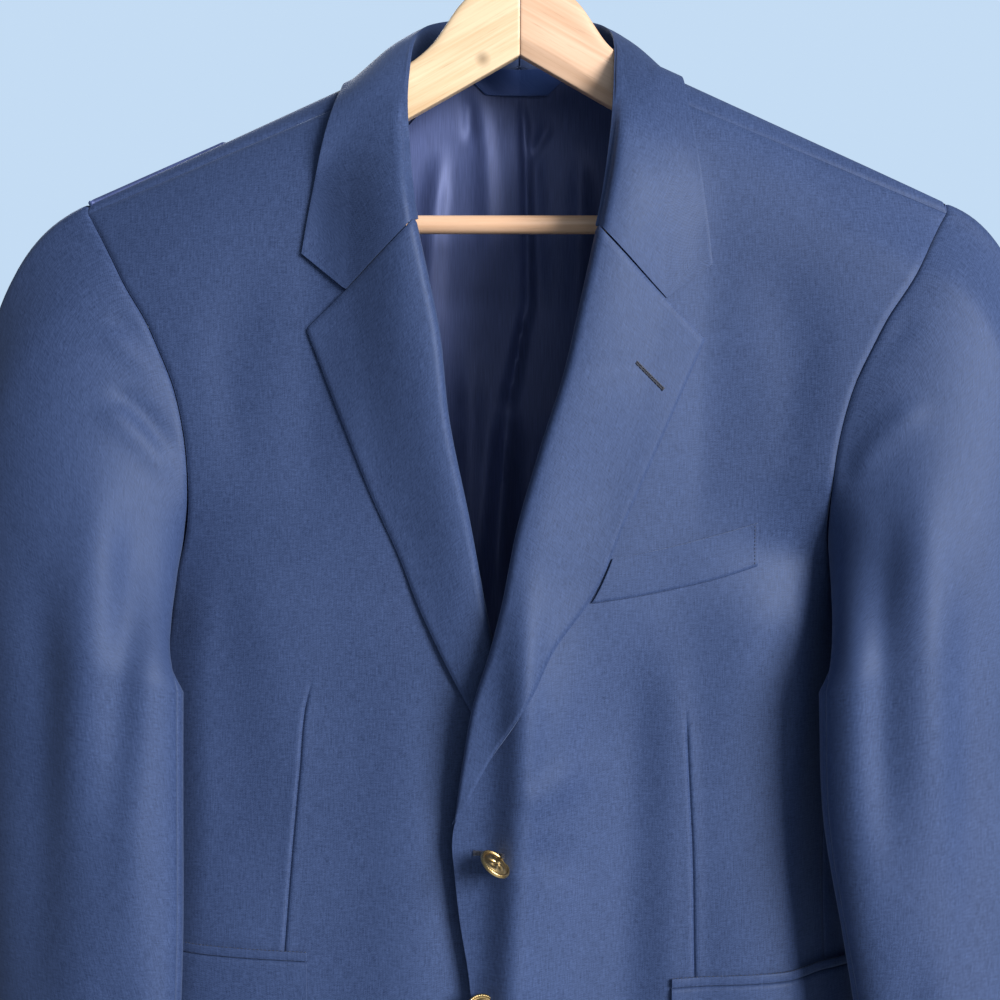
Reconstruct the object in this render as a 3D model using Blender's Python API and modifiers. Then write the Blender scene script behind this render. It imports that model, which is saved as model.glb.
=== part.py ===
"""Single breasted navy blazer on a wooden hanger, a whole garment hung with its cloth settled flat.

Frame: +Z up, the fronts face -Y, the wearer's left is +X. The origin is the inner top of the hanger's hook,
where a rail or wall hook bears. The wearer's left front is the "over" layer, the right front the "under" layer.
Sizes are millimetres here. MM turns them into Blender's metres when a mesh is made.
"""

import math

import bmesh
import bpy
import numpy as np
from mathutils import Vector

MM = 0.001
TAU = 2 * math.pi

# ---------------------------------------------------------------- driving sizes
CLOTH = 1.7  # wall of a panel: shell cloth with its canvas
GAP = 0.3  # between pieces at a seam
HEM_Z = -930.0
ARMPIT_Z = -476.0
SHOULDER_SLOPE = 0.486
SHOULDER_POINT_X = 265.0
RIDGE_KEY_X = 112.0  # the ridge's height is given here
RIDGE_KEY_Z = -152.0
RIDGE_STEEPER = 0.5  # extra slope inside the neck point
RIDGE_STEEPER_X = 80.0
RIDGE_NECK_Y = 2.0
RIDGE_FORWARD = 0.108  # the ridge runs forward towards the sleeve
SEAM_DROP_END = 7.0  # the shoulder seam ends this far below the ridge, on its front side
SHOULDER_ROUND = 95.0  # height over which the shoulder rounds into the front and the back
BODY_CENTRE_Y = 10.0
SECTION_POWER = 2.6
SWAY = 0.037  # the garment hangs a little to its right below the shoulders
SWAY_TOP_Z = -180.0
SWAY_DEPTH = 510.0

SECTIONS = {  # level sections of the body
    "z": [-226, -300, -380, -476, -600, -720, -930],
    "half_width": [330, 288, 256, 236, 228, 234, 246],
    "front_depth": [56, 59, 60, 60, 57, 58, 60],
    "back_depth": [50, 56, 58, 57, 50, 52, 56],
}
ARMHOLE_FRONT = {  # distance of the front armhole seam from the body's middle
    "z": [-233, -262, -281, -301, -318, -339, -364, -390, -411, -432, -452],
    "half": [265, 247, 236, 223, 214.5, 205, 198, 194, 193, 195, 200],
}
ARMHOLE_BACK = {
    "z": [-226, -260, -290, -330, -380, -430, -455],
    "half": [265, 251, 242, 233, 229, 231, 233],
}
SIDE_SEAM_FRONT = {"z": [-452, -520, -600, -720, -930], "half": [200, 207, 203, 208, 219]}
SIDE_SEAM_BACK = {"z": [-455, -520, -600, -720, -930], "half": [231, 214, 204, 208, 220]}

GORGE_Z = -242.0  # the neckline meets the roll line
ROLL_FOOT_Z = -604.0  # the roll line meets the front edge
NECK_EDGE = {  # inner edge of the fronts above the gorge, under the collar
    "z": [-159, -190, -220, -242],
    "over": [84, 78, 68, 56],
    "under": [-92, -89, -82, -71],
}
ROLL_OVER = {
    "z": [-242, -291, -337, -380, -426, -473, -501, -529, -565, -604],
    "x": [45.9, 35.1, 24.4, 10.7, -2.5, -12.0, -19.2, -28.1, -34.7, -40.1],
}
ROLL_UNDER = {
    "z": [-242, -279, -308, -362, -422, -479, -540, -604],
    "x": [-62.5, -54.4, -48.4, -42.4, -30.5, -20.0, -7.0, 8.0],
}
EDGE_OVER = {
    "z": [-604, -615, -630, -661, -694, -712, -760, -820, -870, -905, -922, -930],
    "x": [-40.1, -41.2, -40.0, -36.7, -31.4, -29.5, -23.0, -8.0, 16.0, 50.0, 78.0, 112.0],
}
EDGE_UNDER = {
    "z": [-604, -661, -712, -760, -820, -870, -905, -922, -930],
    "x": [8.0, 2.0, -6.0, -14.0, -29.0, -53.0, -87.0, -115.0, -149.0],
}
LAPEL_EDGE_OVER = {  # outer edge of the lapel from its tip to the break
    "z": [-313.7, -369, -420, -469.6, -499.3, -524.3, -542.2, -558.9, -575, -589],
    "x": [110.6, 86.0, 63.2, 41.0, 19.0, 6.5, -4.9, -15.6, -24.6, -31.2],
}
LAPEL_EDGE_UNDER = {
    "z": [-307.4, -368.1, -410, -445.9, -469.8, -499.7, -536.8, -565, -589],
    "x": [-129.0, -105.3, -88.5, -72.4, -63.4, -49.7, -30.5, -15.0, -1.0],
}
LAYER_LIFT = {  # how far the over front stands forward, and the under front sinks, along the opening
    "z": [-330, -400, -450, -500, -560, -604, -640, -700, -930],
    "over": [0, 5, 11, 13, 13, 11, 8, 5, 4.5],
    "under": [0, 1, 3, 4, 4, 3.5, 2.5, 1, 0.5],
}
LIFT_REACH = 150.0


# ---------------------------------------------------------------- curves and the body's form
def curve(keys, values, at):
    """Smooth curve through (keys, values), read at `at`: cubic pieces whose slopes are the neighbours' chords."""
    k = np.asarray(keys, float)
    v = np.asarray(values, float)
    if k[0] > k[-1]:
        k, v = k[::-1], v[::-1]
    slope = np.gradient(v, k)
    t = np.clip(np.asarray(at, float), k[0], k[-1])
    i = np.clip(np.searchsorted(k, t) - 1, 0, len(k) - 2)
    span = k[i + 1] - k[i]
    s = (t - k[i]) / span
    h00, h10 = 2 * s**3 - 3 * s**2 + 1, s**3 - 2 * s**2 + s
    return h00 * v[i] + h10 * span * slope[i] + (1 - h00) * v[i + 1] + (s**3 - s**2) * span * slope[i + 1]


def smoothstep(t):
    t = np.clip(t, 0.0, 1.0)
    return t * t * (3 - 2 * t)


def sway(z):
    """Sideways shift of the body's middle at height z."""
    return -SWAY * np.clip(SWAY_TOP_Z - z, 0, SWAY_DEPTH)


def ridge_z(x):
    """Height of the shoulder's ridge over |x|, steeper towards the neck."""
    near_neck = np.maximum(RIDGE_STEEPER_X - np.abs(x), 0)
    return RIDGE_KEY_Z - SHOULDER_SLOPE * (np.abs(x) - RIDGE_KEY_X) + RIDGE_STEEPER * near_neck


def ridge_y(x):
    """The ridge runs forward towards the sleeve, as the hanger's arms do."""
    return RIDGE_NECK_Y - RIDGE_FORWARD * (np.abs(x) - RIDGE_STEEPER_X)


def section(x, z, depth):
    """Superellipse of the level section: 0 at the side, the section's depth at its middle."""
    half = curve(SECTIONS["z"], SECTIONS["half_width"], z)
    across = np.clip(np.abs(x - sway(z)) / half, 0, 1)
    return curve(SECTIONS["z"], SECTIONS[depth], z) * (1 - across**SECTION_POWER) ** (1 / SECTION_POWER)


def rounding(x, z):
    """0 on the shoulder's ridge and 1 below it, along a quarter ellipse."""
    down = np.clip((ridge_z(x) - z) / SHOULDER_ROUND, 0, 1)
    return np.sqrt(1 - (1 - down) ** 2)


def front_y(x, z):
    return ridge_y(x) + (BODY_CENTRE_Y - section(x, z, "front_depth") - ridge_y(x)) * rounding(x, z)


def back_y(x, z):
    return ridge_y(x) + (BODY_CENTRE_Y + section(x, z, "back_depth") - ridge_y(x)) * rounding(x, z)


def inner_edge(layer, z):
    """The front's inner edge: neck, then roll line, then front edge, from the shoulder seam to the hem."""
    roll, edge = (ROLL_OVER, EDGE_OVER) if layer == "over" else (ROLL_UNDER, EDGE_UNDER)
    above = np.asarray(z) > GORGE_Z
    below = np.asarray(z) < ROLL_FOOT_Z
    neck = curve(NECK_EDGE["z"], NECK_EDGE[layer], z)
    return np.where(above, neck, np.where(below, curve(edge["z"], edge["x"], z), curve(roll["z"], roll["x"], z)))


def layer_y(layer, x, z):
    """Outer surface of one front, with the over layer lifted and the under layer sunk beside the opening."""
    out = 1 if layer == "over" else -1
    reach = 1 - smoothstep(out * (x - inner_edge(layer, z)) / LIFT_REACH)
    shift = curve(LAYER_LIFT["z"], LAYER_LIFT[layer], z) * reach
    return front_y(x, z) + (-shift if layer == "over" else shift)


# ---------------------------------------------------------------- girth: over the shoulder from front to back
GIRTH_ROUND = 110.0  # girth from the ridge to where the rounding ends


def girth_drop(girth):
    """Depth below the ridge at a signed girth, front negative and back positive."""
    along = np.abs(girth)
    turn = np.clip(along / GIRTH_ROUND, 0, 1) * math.pi / 2
    return SHOULDER_ROUND * (1 - np.cos(turn)) + np.maximum(along - GIRTH_ROUND, 0)


def drop_girth(drop):
    """Girth, without its sign, at a depth below the ridge."""
    turn = np.arccos(1 - np.clip(drop / SHOULDER_ROUND, 0, 1))
    return GIRTH_ROUND * turn / (math.pi / 2) + np.maximum(drop - SHOULDER_ROUND, 0)


def girth_point(x, girth):
    """Point of the body's outer surface at x and a signed girth."""
    z = ridge_z(x) - girth_drop(girth)
    y = np.where(np.asarray(girth) < 0, front_y(x, z), back_y(x, z))
    return np.stack(np.broadcast_arrays(x, y, z), axis=-1)


# ---------------------------------------------------------------- grids, walls and objects
def even(points, count):
    """The polyline read at `count` points an equal length apart."""
    length = np.concatenate([[0], np.cumsum(np.linalg.norm(np.diff(points, axis=0), axis=1))])
    at = np.linspace(0, length[-1], count)
    return np.stack([np.interp(at, length, points[:, axis]) for axis in range(3)], axis=-1)


def inset(grid, sides=("top", "bottom", "start", "end"), gap=1.5 * GAP):
    """Moves the named borders of a grid inwards, so that two pieces keep a gap at their seam."""
    grid = grid.copy()
    borders = {"top": (grid[0], grid[1]), "bottom": (grid[-1], grid[-2]),
               "start": (grid[:, 0], grid[:, 1]), "end": (grid[:, -1], grid[:, -2])}
    for side in sides:
        line, inner = borders[side]
        step = inner - line
        line += step / np.linalg.norm(step, axis=-1, keepdims=True) * gap
    return grid


def normals(grid):
    """Unit normals of a grid, row direction across column direction."""
    down = np.gradient(grid, axis=0)
    across = np.gradient(grid, axis=1)
    out = np.cross(down, across)
    return out / np.linalg.norm(out, axis=-1, keepdims=True)


def grid_faces(rows, columns, closed=False):
    """Quads of a grid, joined round on itself where closed."""
    index = np.arange(rows * columns).reshape(rows, columns)
    if closed:
        index = np.concatenate([index, index[:, :1]], axis=1)
    corners = (index[:-1, :-1], index[1:, :-1], index[1:, 1:], index[:-1, 1:])
    return np.stack([c.ravel() for c in corners], axis=-1).tolist()


def make_material(name, colour, roughness, metallic=0.0):
    material = bpy.data.materials.new(name)
    material.use_nodes = True
    shader = material.node_tree.nodes["Principled BSDF"]
    shader.inputs["Base Color"].default_value = (*colour, 1.0)
    shader.inputs["Roughness"].default_value = roughness
    shader.inputs["Metallic"].default_value = metallic
    return material


def add_object(name, points, faces, material):
    mesh = bpy.data.meshes.new(name)
    mesh.from_pydata((np.asarray(points).reshape(-1, 3) * MM).tolist(), [], faces)
    mesh.materials.append(material)
    mesh.update()
    piece = bpy.data.objects.new(name, mesh)
    blazer.objects.link(piece)
    return piece


def cloth_piece(name, grid, material, thickness=CLOTH, outward=1, closed=False):
    """A wall whose outer surface is the grid. `outward` is 1 where rows across columns point out of the cloth."""
    faces = grid_faces(*grid.shape[:2], closed)
    if outward < 0:
        faces = [face[::-1] for face in faces]
    piece = add_object(name, grid, faces, material)
    wall = piece.modifiers.new("wall", "SOLIDIFY")
    wall.thickness = thickness * MM
    wall.offset = -1
    wall.use_quality_normals = True
    return piece


# ---------------------------------------------------------------- body panels
ROLL_RADIUS = {"z": [-242, -400, -520, -592], "radius": [5.0, 4.6, 3.2, 2.1]}
FOLD_FOOT_Z = -606.0  # the fold's width runs out here, over this height
FOLD_FOOT_HEIGHT = 14.0
FOLD_HEAD_Z = -228.0
FOLD_HEAD_HEIGHT = 16.0
FRONT_ROWS = [-159, -185, -212, -236, -262, -290, -320, -350, -382, -414, -446, -476, -508, -540, -568, -592,
              -612, -640, -676, -712, -752, -796, -838, -870, -894, -912, -924, HEM_Z]
FRONT_COLUMNS = 13
SIDE_ROWS = 14
SIDE_COLUMNS = 6
NECK_BACK = {  # neckline over the shoulder to the centre back: girth and distance from the middle
    "girth": [-45, -22, 0, 22, 42, 60, 76, 85],
    "x": [88, 86, 82, 75, 65, 50, 27, 0],
}
BACK_GIRTHS = [-45, -22, 0, 22, 42, 60, 76, 90, 130, 175, 225, 280, 330, 380, 433]
BACK_LEVELS = [-510, -552, -600, -655, -715, -790, -862, HEM_Z]
BACK_COLUMNS = 11
FINE = 48  # samples along a row before it is read an equal length apart


def outer_edge_front(layer, z):
    """Front armhole seam above, side seam below."""
    out = 1 if layer == "over" else -1
    armhole = curve(ARMHOLE_FRONT["z"], ARMHOLE_FRONT["half"], z)
    seam = curve(SIDE_SEAM_FRONT["z"], SIDE_SEAM_FRONT["half"], z)
    return out * np.where(np.asarray(z) > ARMHOLE_FRONT["z"][-1], armhole, seam) + sway(z)


def front_grid(layer):
    out = 1 if layer == "over" else -1
    top = FRONT_ROWS[0]
    shoulder = ARMHOLE_FRONT["z"][0]
    rows = []
    for level in FRONT_ROWS:
        share = np.clip((level - ARMPIT_Z) / (top - ARMPIT_Z), 0, 1)
        outer_z = level + (shoulder - top) * share
        fold = curve(ROLL_RADIUS["z"], ROLL_RADIUS["radius"], level) + GAP
        fold *= smoothstep((level - FOLD_FOOT_Z) / FOLD_FOOT_HEIGHT)
        fold *= smoothstep((FOLD_HEAD_Z - level) / FOLD_HEAD_HEIGHT)
        inner_x = inner_edge(layer, level) + out * fold
        across = np.linspace(0, 1, FINE)
        x = inner_x + (outer_edge_front(layer, outer_z) - inner_x) * across
        z = level + (outer_z - level) * across
        rows.append(even(np.stack([x, layer_y(layer, x, z), z], axis=-1), FRONT_COLUMNS))
    return np.array(rows)


def level_arc(out, z, start_half, end_half):
    """Level section from the front seam round the side to the back seam."""
    half = curve(SECTIONS["z"], SECTIONS["half_width"], z)
    power = SECTION_POWER / 2
    first = math.asin(min(1.0, (start_half / half) ** power))
    last = math.pi - math.asin(min(1.0, (end_half / half) ** power))
    turn = np.linspace(first, last, FINE)
    x = out * half * np.sin(turn) ** (1 / power)
    depth = np.where(turn < math.pi / 2, curve(SECTIONS["z"], SECTIONS["front_depth"], z),
                     curve(SECTIONS["z"], SECTIONS["back_depth"], z))
    y = BODY_CENTRE_Y - depth * np.sign(np.cos(turn)) * np.abs(np.cos(turn)) ** (1 / power)
    return np.stack([x + sway(z), y, np.full(FINE, z)], axis=-1)


def side_grid(out):
    columns = []
    front_top, back_top = ARMHOLE_FRONT["z"][-1], ARMHOLE_BACK["z"][-1]
    for column in range(SIDE_COLUMNS):
        share = column / (SIDE_COLUMNS - 1)
        top = front_top + (back_top - front_top) * share + 4 * (ARMPIT_Z - front_top) * share * (1 - share)
        line = []
        for z in np.linspace(top, HEM_Z, SIDE_ROWS):
            arc = level_arc(out, z, curve(SIDE_SEAM_FRONT["z"], SIDE_SEAM_FRONT["half"], z),
                            curve(SIDE_SEAM_BACK["z"], SIDE_SEAM_BACK["half"], z))
            line.append(even(arc, SIDE_COLUMNS)[column])
        columns.append(line)
    return np.array(columns).transpose(1, 0, 2)


def back_outer(z):
    """Distance of the back armhole seam, then of the side seam, from the body's middle."""
    armhole = curve(ARMHOLE_BACK["z"], ARMHOLE_BACK["half"], z)
    seam = curve(SIDE_SEAM_BACK["z"], SIDE_SEAM_BACK["half"], z)
    return np.where(np.asarray(z) > ARMHOLE_BACK["z"][-1], armhole, seam)


def back_grid(out):
    first, last = BACK_GIRTHS[0], BACK_GIRTHS[-1]
    seam = front_grid("over" if out > 0 else "under")[0]
    seam_end = -drop_girth(SEAM_DROP_END)
    side_x = back_outer(ARMPIT_Z)
    side_end = drop_girth(ridge_z(side_x) - ARMPIT_Z)
    across = np.linspace(0, 1, FINE)
    rows = []
    for girth in BACK_GIRTHS:
        inner_x = curve(NECK_BACK["girth"], NECK_BACK["x"], girth) if girth < NECK_BACK["girth"][-1] else 0.0
        outer_girth = seam_end + (side_end - seam_end) * (girth - first) / (last - first)
        outer_x = SHOULDER_POINT_X
        for _ in range(4):
            outer_x = back_outer(ridge_z(outer_x) - girth_drop(outer_girth))
        x = inner_x + (outer_x - inner_x) * across
        row = girth_point(x, girth + (outer_girth - girth) * across)
        row[:, 0] = out * row[:, 0] + sway(row[:, 2])
        row[:, 1] = np.where(girth + (outer_girth - girth) * across < 0, front_y(row[:, 0], row[:, 2]),
                             back_y(row[:, 0], row[:, 2]))
        rows.append(even(seam if girth == first else row, BACK_COLUMNS))
    for z in BACK_LEVELS:
        x = sway(z) + out * np.linspace(0, back_outer(z), FINE)
        row = np.stack([x, back_y(x, z), np.full(FINE, z)], axis=-1)
        rows.append(even(row, BACK_COLUMNS))
    return np.array(rows)


def build_body():
    for layer, side, out in (("over", "left", 1), ("under", "right", -1)):
        cloth_piece(f"front_{side}", inset(front_grid(layer)), wool, outward=out)
        cloth_piece(f"side_{side}", inset(side_grid(out), gap=4 * GAP), wool, outward=out)
        cloth_piece(f"back_{side}", inset(back_grid(out)), wool, outward=-out)


# ---------------------------------------------------------------- lapels
GORGE_TOP = {"over": (46.0, -247.0), "under": (-62.8, -244.2)}  # where the gorge seam meets the roll line
LEAF_REST = 2.5  # outer face of a leaf above the panel it lies on
ROLL_SOFTNESS = 30.0  # width over which the roll settles on the panel
LAPEL_ROWS = 19
FOLD_POINTS = 7
LEAF_POINTS = 9
LEAF_SPREAD = 1.15  # the leaf's points lie closer beside the fold
FOLD_SHARE = 0.36  # of a short row, the most that the fold's radius takes
LAPEL_FOOT_Z = -590.0
LAPEL_CLOTH = 1.5


def polyline(points, count):
    """A plane polyline read at `count` points an equal length apart."""
    flat = np.column_stack([points, np.zeros(len(points))])
    return even(flat, count)[:, :2]


def lapel_sides(layer, rows):
    """Roll edge and outer edge of the lapel in the front view, top to bottom."""
    roll = ROLL_OVER if layer == "over" else ROLL_UNDER
    edge = LAPEL_EDGE_OVER if layer == "over" else LAPEL_EDGE_UNDER
    start_x, start_z = GORGE_TOP[layer]
    roll_z = np.linspace(start_z, LAPEL_FOOT_Z, FINE)
    inner = np.column_stack([curve(roll["z"], roll["x"], roll_z), roll_z])
    edge_z = np.linspace(edge["z"][0], edge["z"][-1], FINE)
    outer = np.column_stack([curve(edge["z"], edge["x"], edge_z), edge_z])
    return polyline(inner, rows), polyline(outer, rows)


def leaf_height(width, radius, rest=LEAF_REST):
    """Height of a leaf's outer face above its panel, from the top of the fold to where it rests."""
    top = 2 * radius - CLOTH
    return rest + (top - rest) * (1 - smoothstep((width - radius) / ROLL_SOFTNESS))


def fold_profile(radius, length):
    """Fold then leaf across a lapel: distance from the roll edge and height above the panel."""
    turn = np.linspace(-math.pi / 2, math.pi / 2, FOLD_POINTS)
    fold = np.column_stack([radius * (1 - np.cos(turn)), radius - CLOTH + radius * np.sin(turn)])
    share = np.linspace(0, 1, LEAF_POINTS + 1)[1:]
    width = radius + (length - radius) * share**LEAF_SPREAD
    return np.vstack([fold, np.column_stack([width, leaf_height(width, radius)])])


def lapel_grid(layer):
    inner, outer = lapel_sides(layer, LAPEL_ROWS)
    rows = []
    for start, end in zip(inner, outer):
        along = end - start
        length = np.linalg.norm(along)
        radius = min(curve(ROLL_RADIUS["z"], ROLL_RADIUS["radius"], start[1]), FOLD_SHARE * length)
        profile = fold_profile(radius, length)
        plane = start + profile[:, :1] * along / length
        y = layer_y(layer, plane[:, 0], plane[:, 1]) - profile[:, 1]
        rows.append(np.column_stack([plane[:, 0], y, plane[:, 1]]))
    return np.array(rows)


def build_lapels():
    for layer, side, out in (("over", "left", 1), ("under", "right", -1)):
        cloth_piece(f"lapel_{side}", inset(lapel_grid(layer), ("top",)), wool, LAPEL_CLOTH, outward=out)


# ---------------------------------------------------------------- collar
COLLAR_CLOTH = 1.8
COLLAR_CREST = 5.0
COLLAR_REST = 3.4
COLLAR_SHOULDER_CLEAR = 3.4
COLLAR_SECTIONS = {  # from the gorge to the centre back: half distances from the collar's own middle
    "along": [0.0, 0.12, 0.26, 0.38, 0.50, 0.62, 0.75, 0.88, 1.0],
    "middle": [-8.4, -7.4, -6.6, -5.4, -4.0, -3.0, -2.0, -0.8, 0.0],
    "fold_x": [54.6, 61.5, 65.0, 66.0, 66.5, 64.0, 54.0, 30.0, 0.0],
    "fold_y": [-55.0, -50.0, -38.0, -21.0, 5.0, 28.0, 50.0, 67.0, 72.0],
    "fold_z": [-245.2, -206.0, -170.0, -145.0, -120.0, -106.0, -95.0, -87.5, -85.0],
    "edge_x": [123.5, 119.0, 113.5, 108.0, 105.0, 102.0, 88.0, 50.0, 0.0],
    "edge_y": [-54.0, -52.0, -46.0, -30.0, 0.0, 34.0, 63.0, 80.0, 84.0],
    "edge_z": [-265.0, -232.0, -198.0, -166.0, -147.0, -145.0, -142.0, -139.0, -138.0],
}
NOTCH_SHARE = 0.62  # of the collar's end, from the fold to the notch
NOTCH_ON_LAPEL = 0.636  # of the lapel's top edge
NOTCH_REACH = 0.22
COLLAR_TILT = 0.025  # the wearer's left side of the collar hangs lower
COLLAR_TILT_BELOW = 0.5  # share of the way round below which the tilt runs out
COLLAR_TILT_RUN = 0.4
CREST_LEAST = 0.35  # share of the crest where the stand is low
CREST_RISE = 24.0  # rise of the stand over which the crest grows by its whole height
CREST_FLATTENED = 0.3  # the crest leans out level, not down
ON_FRONT_BELOW = 0.32  # share of the way round below which the leaf lies on the front
ON_FRONT_RUN = 0.18
ON_SHOULDER_X = 78.0  # the leaf rests on the shoulder outside this distance
ON_SHOULDER_RUN = 8.0
COLLAR_ROWS = 29
STAND_POINTS = 5
COLLAR_LEAF_POINTS = 10
FRONT_ROWS_AT_NECK = 4
BACK_ROWS_AT_NECK = 8


def bezier(p0, p1, p2, p3, count):
    t = np.linspace(0, 1, count)[:, None]
    return (1 - t) ** 3 * p0 + 3 * t * (1 - t) ** 2 * p1 + 3 * t**2 * (1 - t) * p2 + t**3 * p3


def neckline(out):
    """The body's neckline from the gorge over the shoulder to the centre back, read evenly."""
    front = front_grid("over" if out > 0 else "under")[:FRONT_ROWS_AT_NECK, 0]
    back = back_grid(out)[1:BACK_ROWS_AT_NECK, 0]
    return even(np.vstack([front[::-1], back]), 101)


def roll_height(width, radius, rest):
    """Height of a folded leaf's outer face above the panel, from its roll edge outwards."""
    round_part = radius - CLOTH + np.sqrt(np.clip(radius**2 - (radius - width) ** 2, 0, None))
    return np.where(width < radius, round_part, leaf_height(np.maximum(width, radius), radius, rest))


def shoulder_top(x, y):
    """Height of the shoulder's cloth over a place near the ridge."""
    front = ridge_y(x) - BODY_CENTRE_Y + section(x, SECTIONS["z"][0], "front_depth")
    back = BODY_CENTRE_Y + section(x, SECTIONS["z"][0], "back_depth") - ridge_y(x)
    share = np.clip(np.abs(y - ridge_y(x)) / np.where(y < ridge_y(x), front, back), 0, 0.97)
    return ridge_z(x) - SHOULDER_ROUND * (1 - np.sqrt(1 - share**2))


def collar_row(position, seam_line):
    """One section of the collar at -1 (right gorge) to 1 (left gorge): stand, fold and leaf."""
    out = 1 if position >= 0 else -1
    layer = "over" if out > 0 else "under"
    along = 1 - abs(position)
    read = {key: curve(COLLAR_SECTIONS["along"], COLLAR_SECTIONS[key], along) for key in COLLAR_SECTIONS}
    lower = COLLAR_TILT * smoothstep((COLLAR_TILT_BELOW - along) / COLLAR_TILT_RUN)

    def place(part):
        x = read["middle"] + out * read[part + "_x"]
        return np.array([x, read[part + "_y"], read[part + "_z"] - lower * (x - read["middle"])])

    fold, edge = place("fold"), place("edge")
    seam = seam_line[int(round(along * (len(seam_line) - 1)))]
    seam = seam + (fold - seam) / np.linalg.norm(fold - seam) * 2 * GAP
    away = (edge - fold) * [1, 1, CREST_FLATTENED]
    away /= np.linalg.norm(away)
    rise = fold - seam
    drop = edge - fold
    crest = COLLAR_CREST * min(1.0, CREST_LEAST + np.linalg.norm(rise) / CREST_RISE)
    stand = bezier(seam, seam + 0.5 * rise, fold - away * crest * 0.9 + 0.1 * rise, fold, STAND_POINTS)
    leaf = bezier(fold, fold + away * crest * 1.6, fold + 0.55 * drop - np.array([0, 2.0, -2.0]), edge,
                  COLLAR_LEAF_POINTS)
    near = 1 - smoothstep(along / NOTCH_REACH)
    start = np.array(GORGE_TOP[layer])
    ends = LAPEL_EDGE_OVER if out > 0 else LAPEL_EDGE_UNDER
    tip = np.array([ends["x"][0], ends["z"][0]])
    seam_step = (tip - start) / np.linalg.norm(tip - start)
    clear = np.array([out * -seam_step[1], out * seam_step[0]]) * 2 * GAP
    notch = start + NOTCH_ON_LAPEL * (tip - start) + clear
    share = np.linspace(0, 1, COLLAR_LEAF_POINTS)[:, None]
    first = start + clear + (notch - start - clear) * np.minimum(share / NOTCH_SHARE, 1)
    bent = first + (edge[[0, 2]] - notch) * np.clip((share - NOTCH_SHARE) / (1 - NOTCH_SHARE), 0, 1)
    leaf[:, [0, 2]] += (bent - leaf[:, [0, 2]]) * near
    front = smoothstep((ON_FRONT_BELOW - along) / ON_FRONT_RUN)
    width = np.linalg.norm((leaf - leaf[0])[:, [0, 2]], axis=1)
    flat = layer_y(layer, leaf[:, 0], leaf[:, 2]) - roll_height(width, COLLAR_CREST, COLLAR_REST)
    leaf[:, 1] += (flat - leaf[:, 1]) * front
    over_shoulder = smoothstep((np.abs(leaf[:, 0]) - ON_SHOULDER_X) / ON_SHOULDER_RUN) * (1 - front)
    rest = shoulder_top(leaf[:, 0], leaf[:, 1]) + COLLAR_CLOTH + COLLAR_SHOULDER_CLEAR
    leaf[:, 2] += np.maximum(rest - leaf[:, 2], 0) * over_shoulder
    stand[-1] = leaf[0]
    return np.vstack([stand[:-1], leaf])


def collar_grid():
    lines = {1: neckline(1), -1: neckline(-1)}
    return np.array([collar_row(p, lines[1 if p >= 0 else -1]) for p in np.linspace(-1, 1, COLLAR_ROWS)])


def build_collar():
    cloth_piece("collar", collar_grid(), wool, COLLAR_CLOTH, outward=1)


# ---------------------------------------------------------------- sleeves
SLEEVE_COLUMNS = 26
SLEEVE_CLOTH = 1.6
CAP_ROWS = 7
SLEEVE_TURN = math.radians(20)  # the inner edge hangs forward of the body's side
ARMPIT_TWIST = 0.5  # the armpit's cloth runs to the back of the sleeve's inner edge
ARMPIT_BULGE = 9.0
FRONT_HANG_TURN = 2.4  # where round the sleeve its front falls straight from the armhole
FRONT_HANG_SPREAD = 0.52
ARMPIT_DIP = 40.0  # the first ring dips under the armpit
FRONT_SEAM_COLUMN = 11
HIND_SEAM_COLUMN = 19
CUFF_Z = -858.0
SLEEVE = {  # level rings below the armpit; inner edges as distances from x = 0
    "z": [-484, -560, -640, -720, -790, CUFF_Z],
    "half_length": [75, 72, 68, 63, 60, 58],
    "half_depth": [36, 35, 33, 30, 26, 23],
    "middle_y": [-50, -51, -53, -57, -63, -70],
    "inner_over": [176, 178, 189, 199, 205, 208],
    "inner_under": [200, 200, 200, 202, 206, 210],
}


def armhole(out):
    """The armhole's loop: down the front, round the armpit, up the back."""
    front = front_grid("over" if out > 0 else "under")[:, -1]
    back = back_grid(out)[:, -1]
    front = front[front[:, 2] > ARMHOLE_FRONT["z"][-1] + 4]
    back = back[back[:, 2] > ARMHOLE_BACK["z"][-1] + 4]
    loop = np.vstack([front, side_grid(out)[0], back[::-1]])
    return even(loop, SLEEVE_COLUMNS + 1)[:-1]


def sleeve_ring(out, z):
    """Level ring of the sleeve, from its outer side to the front, the inner side and the back."""
    read = {key: curve(SLEEVE["z"], SLEEVE[key], z) for key in SLEEVE}
    inner = read["inner_over"] if out > 0 else read["inner_under"]
    turn = np.arange(SLEEVE_COLUMNS) / SLEEVE_COLUMNS * TAU
    low = (1 - np.cos(turn)) / 2
    turn = turn + ARMPIT_TWIST * low
    long_way = read["half_length"] * np.cos(turn)
    deep_way = read["half_depth"] * np.sin(turn)
    middle = inner + read["half_length"] * math.cos(SLEEVE_TURN)
    x = middle + long_way * math.cos(SLEEVE_TURN) + deep_way * math.sin(SLEEVE_TURN)
    y = read["middle_y"] + long_way * math.sin(SLEEVE_TURN) - deep_way * math.cos(SLEEVE_TURN)
    settle = 1 - smoothstep((SLEEVE["z"][0] - z) / (SLEEVE["z"][0] - CUFF_Z))
    return np.column_stack([out * x, y, z - ARMPIT_DIP * settle * low])


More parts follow.
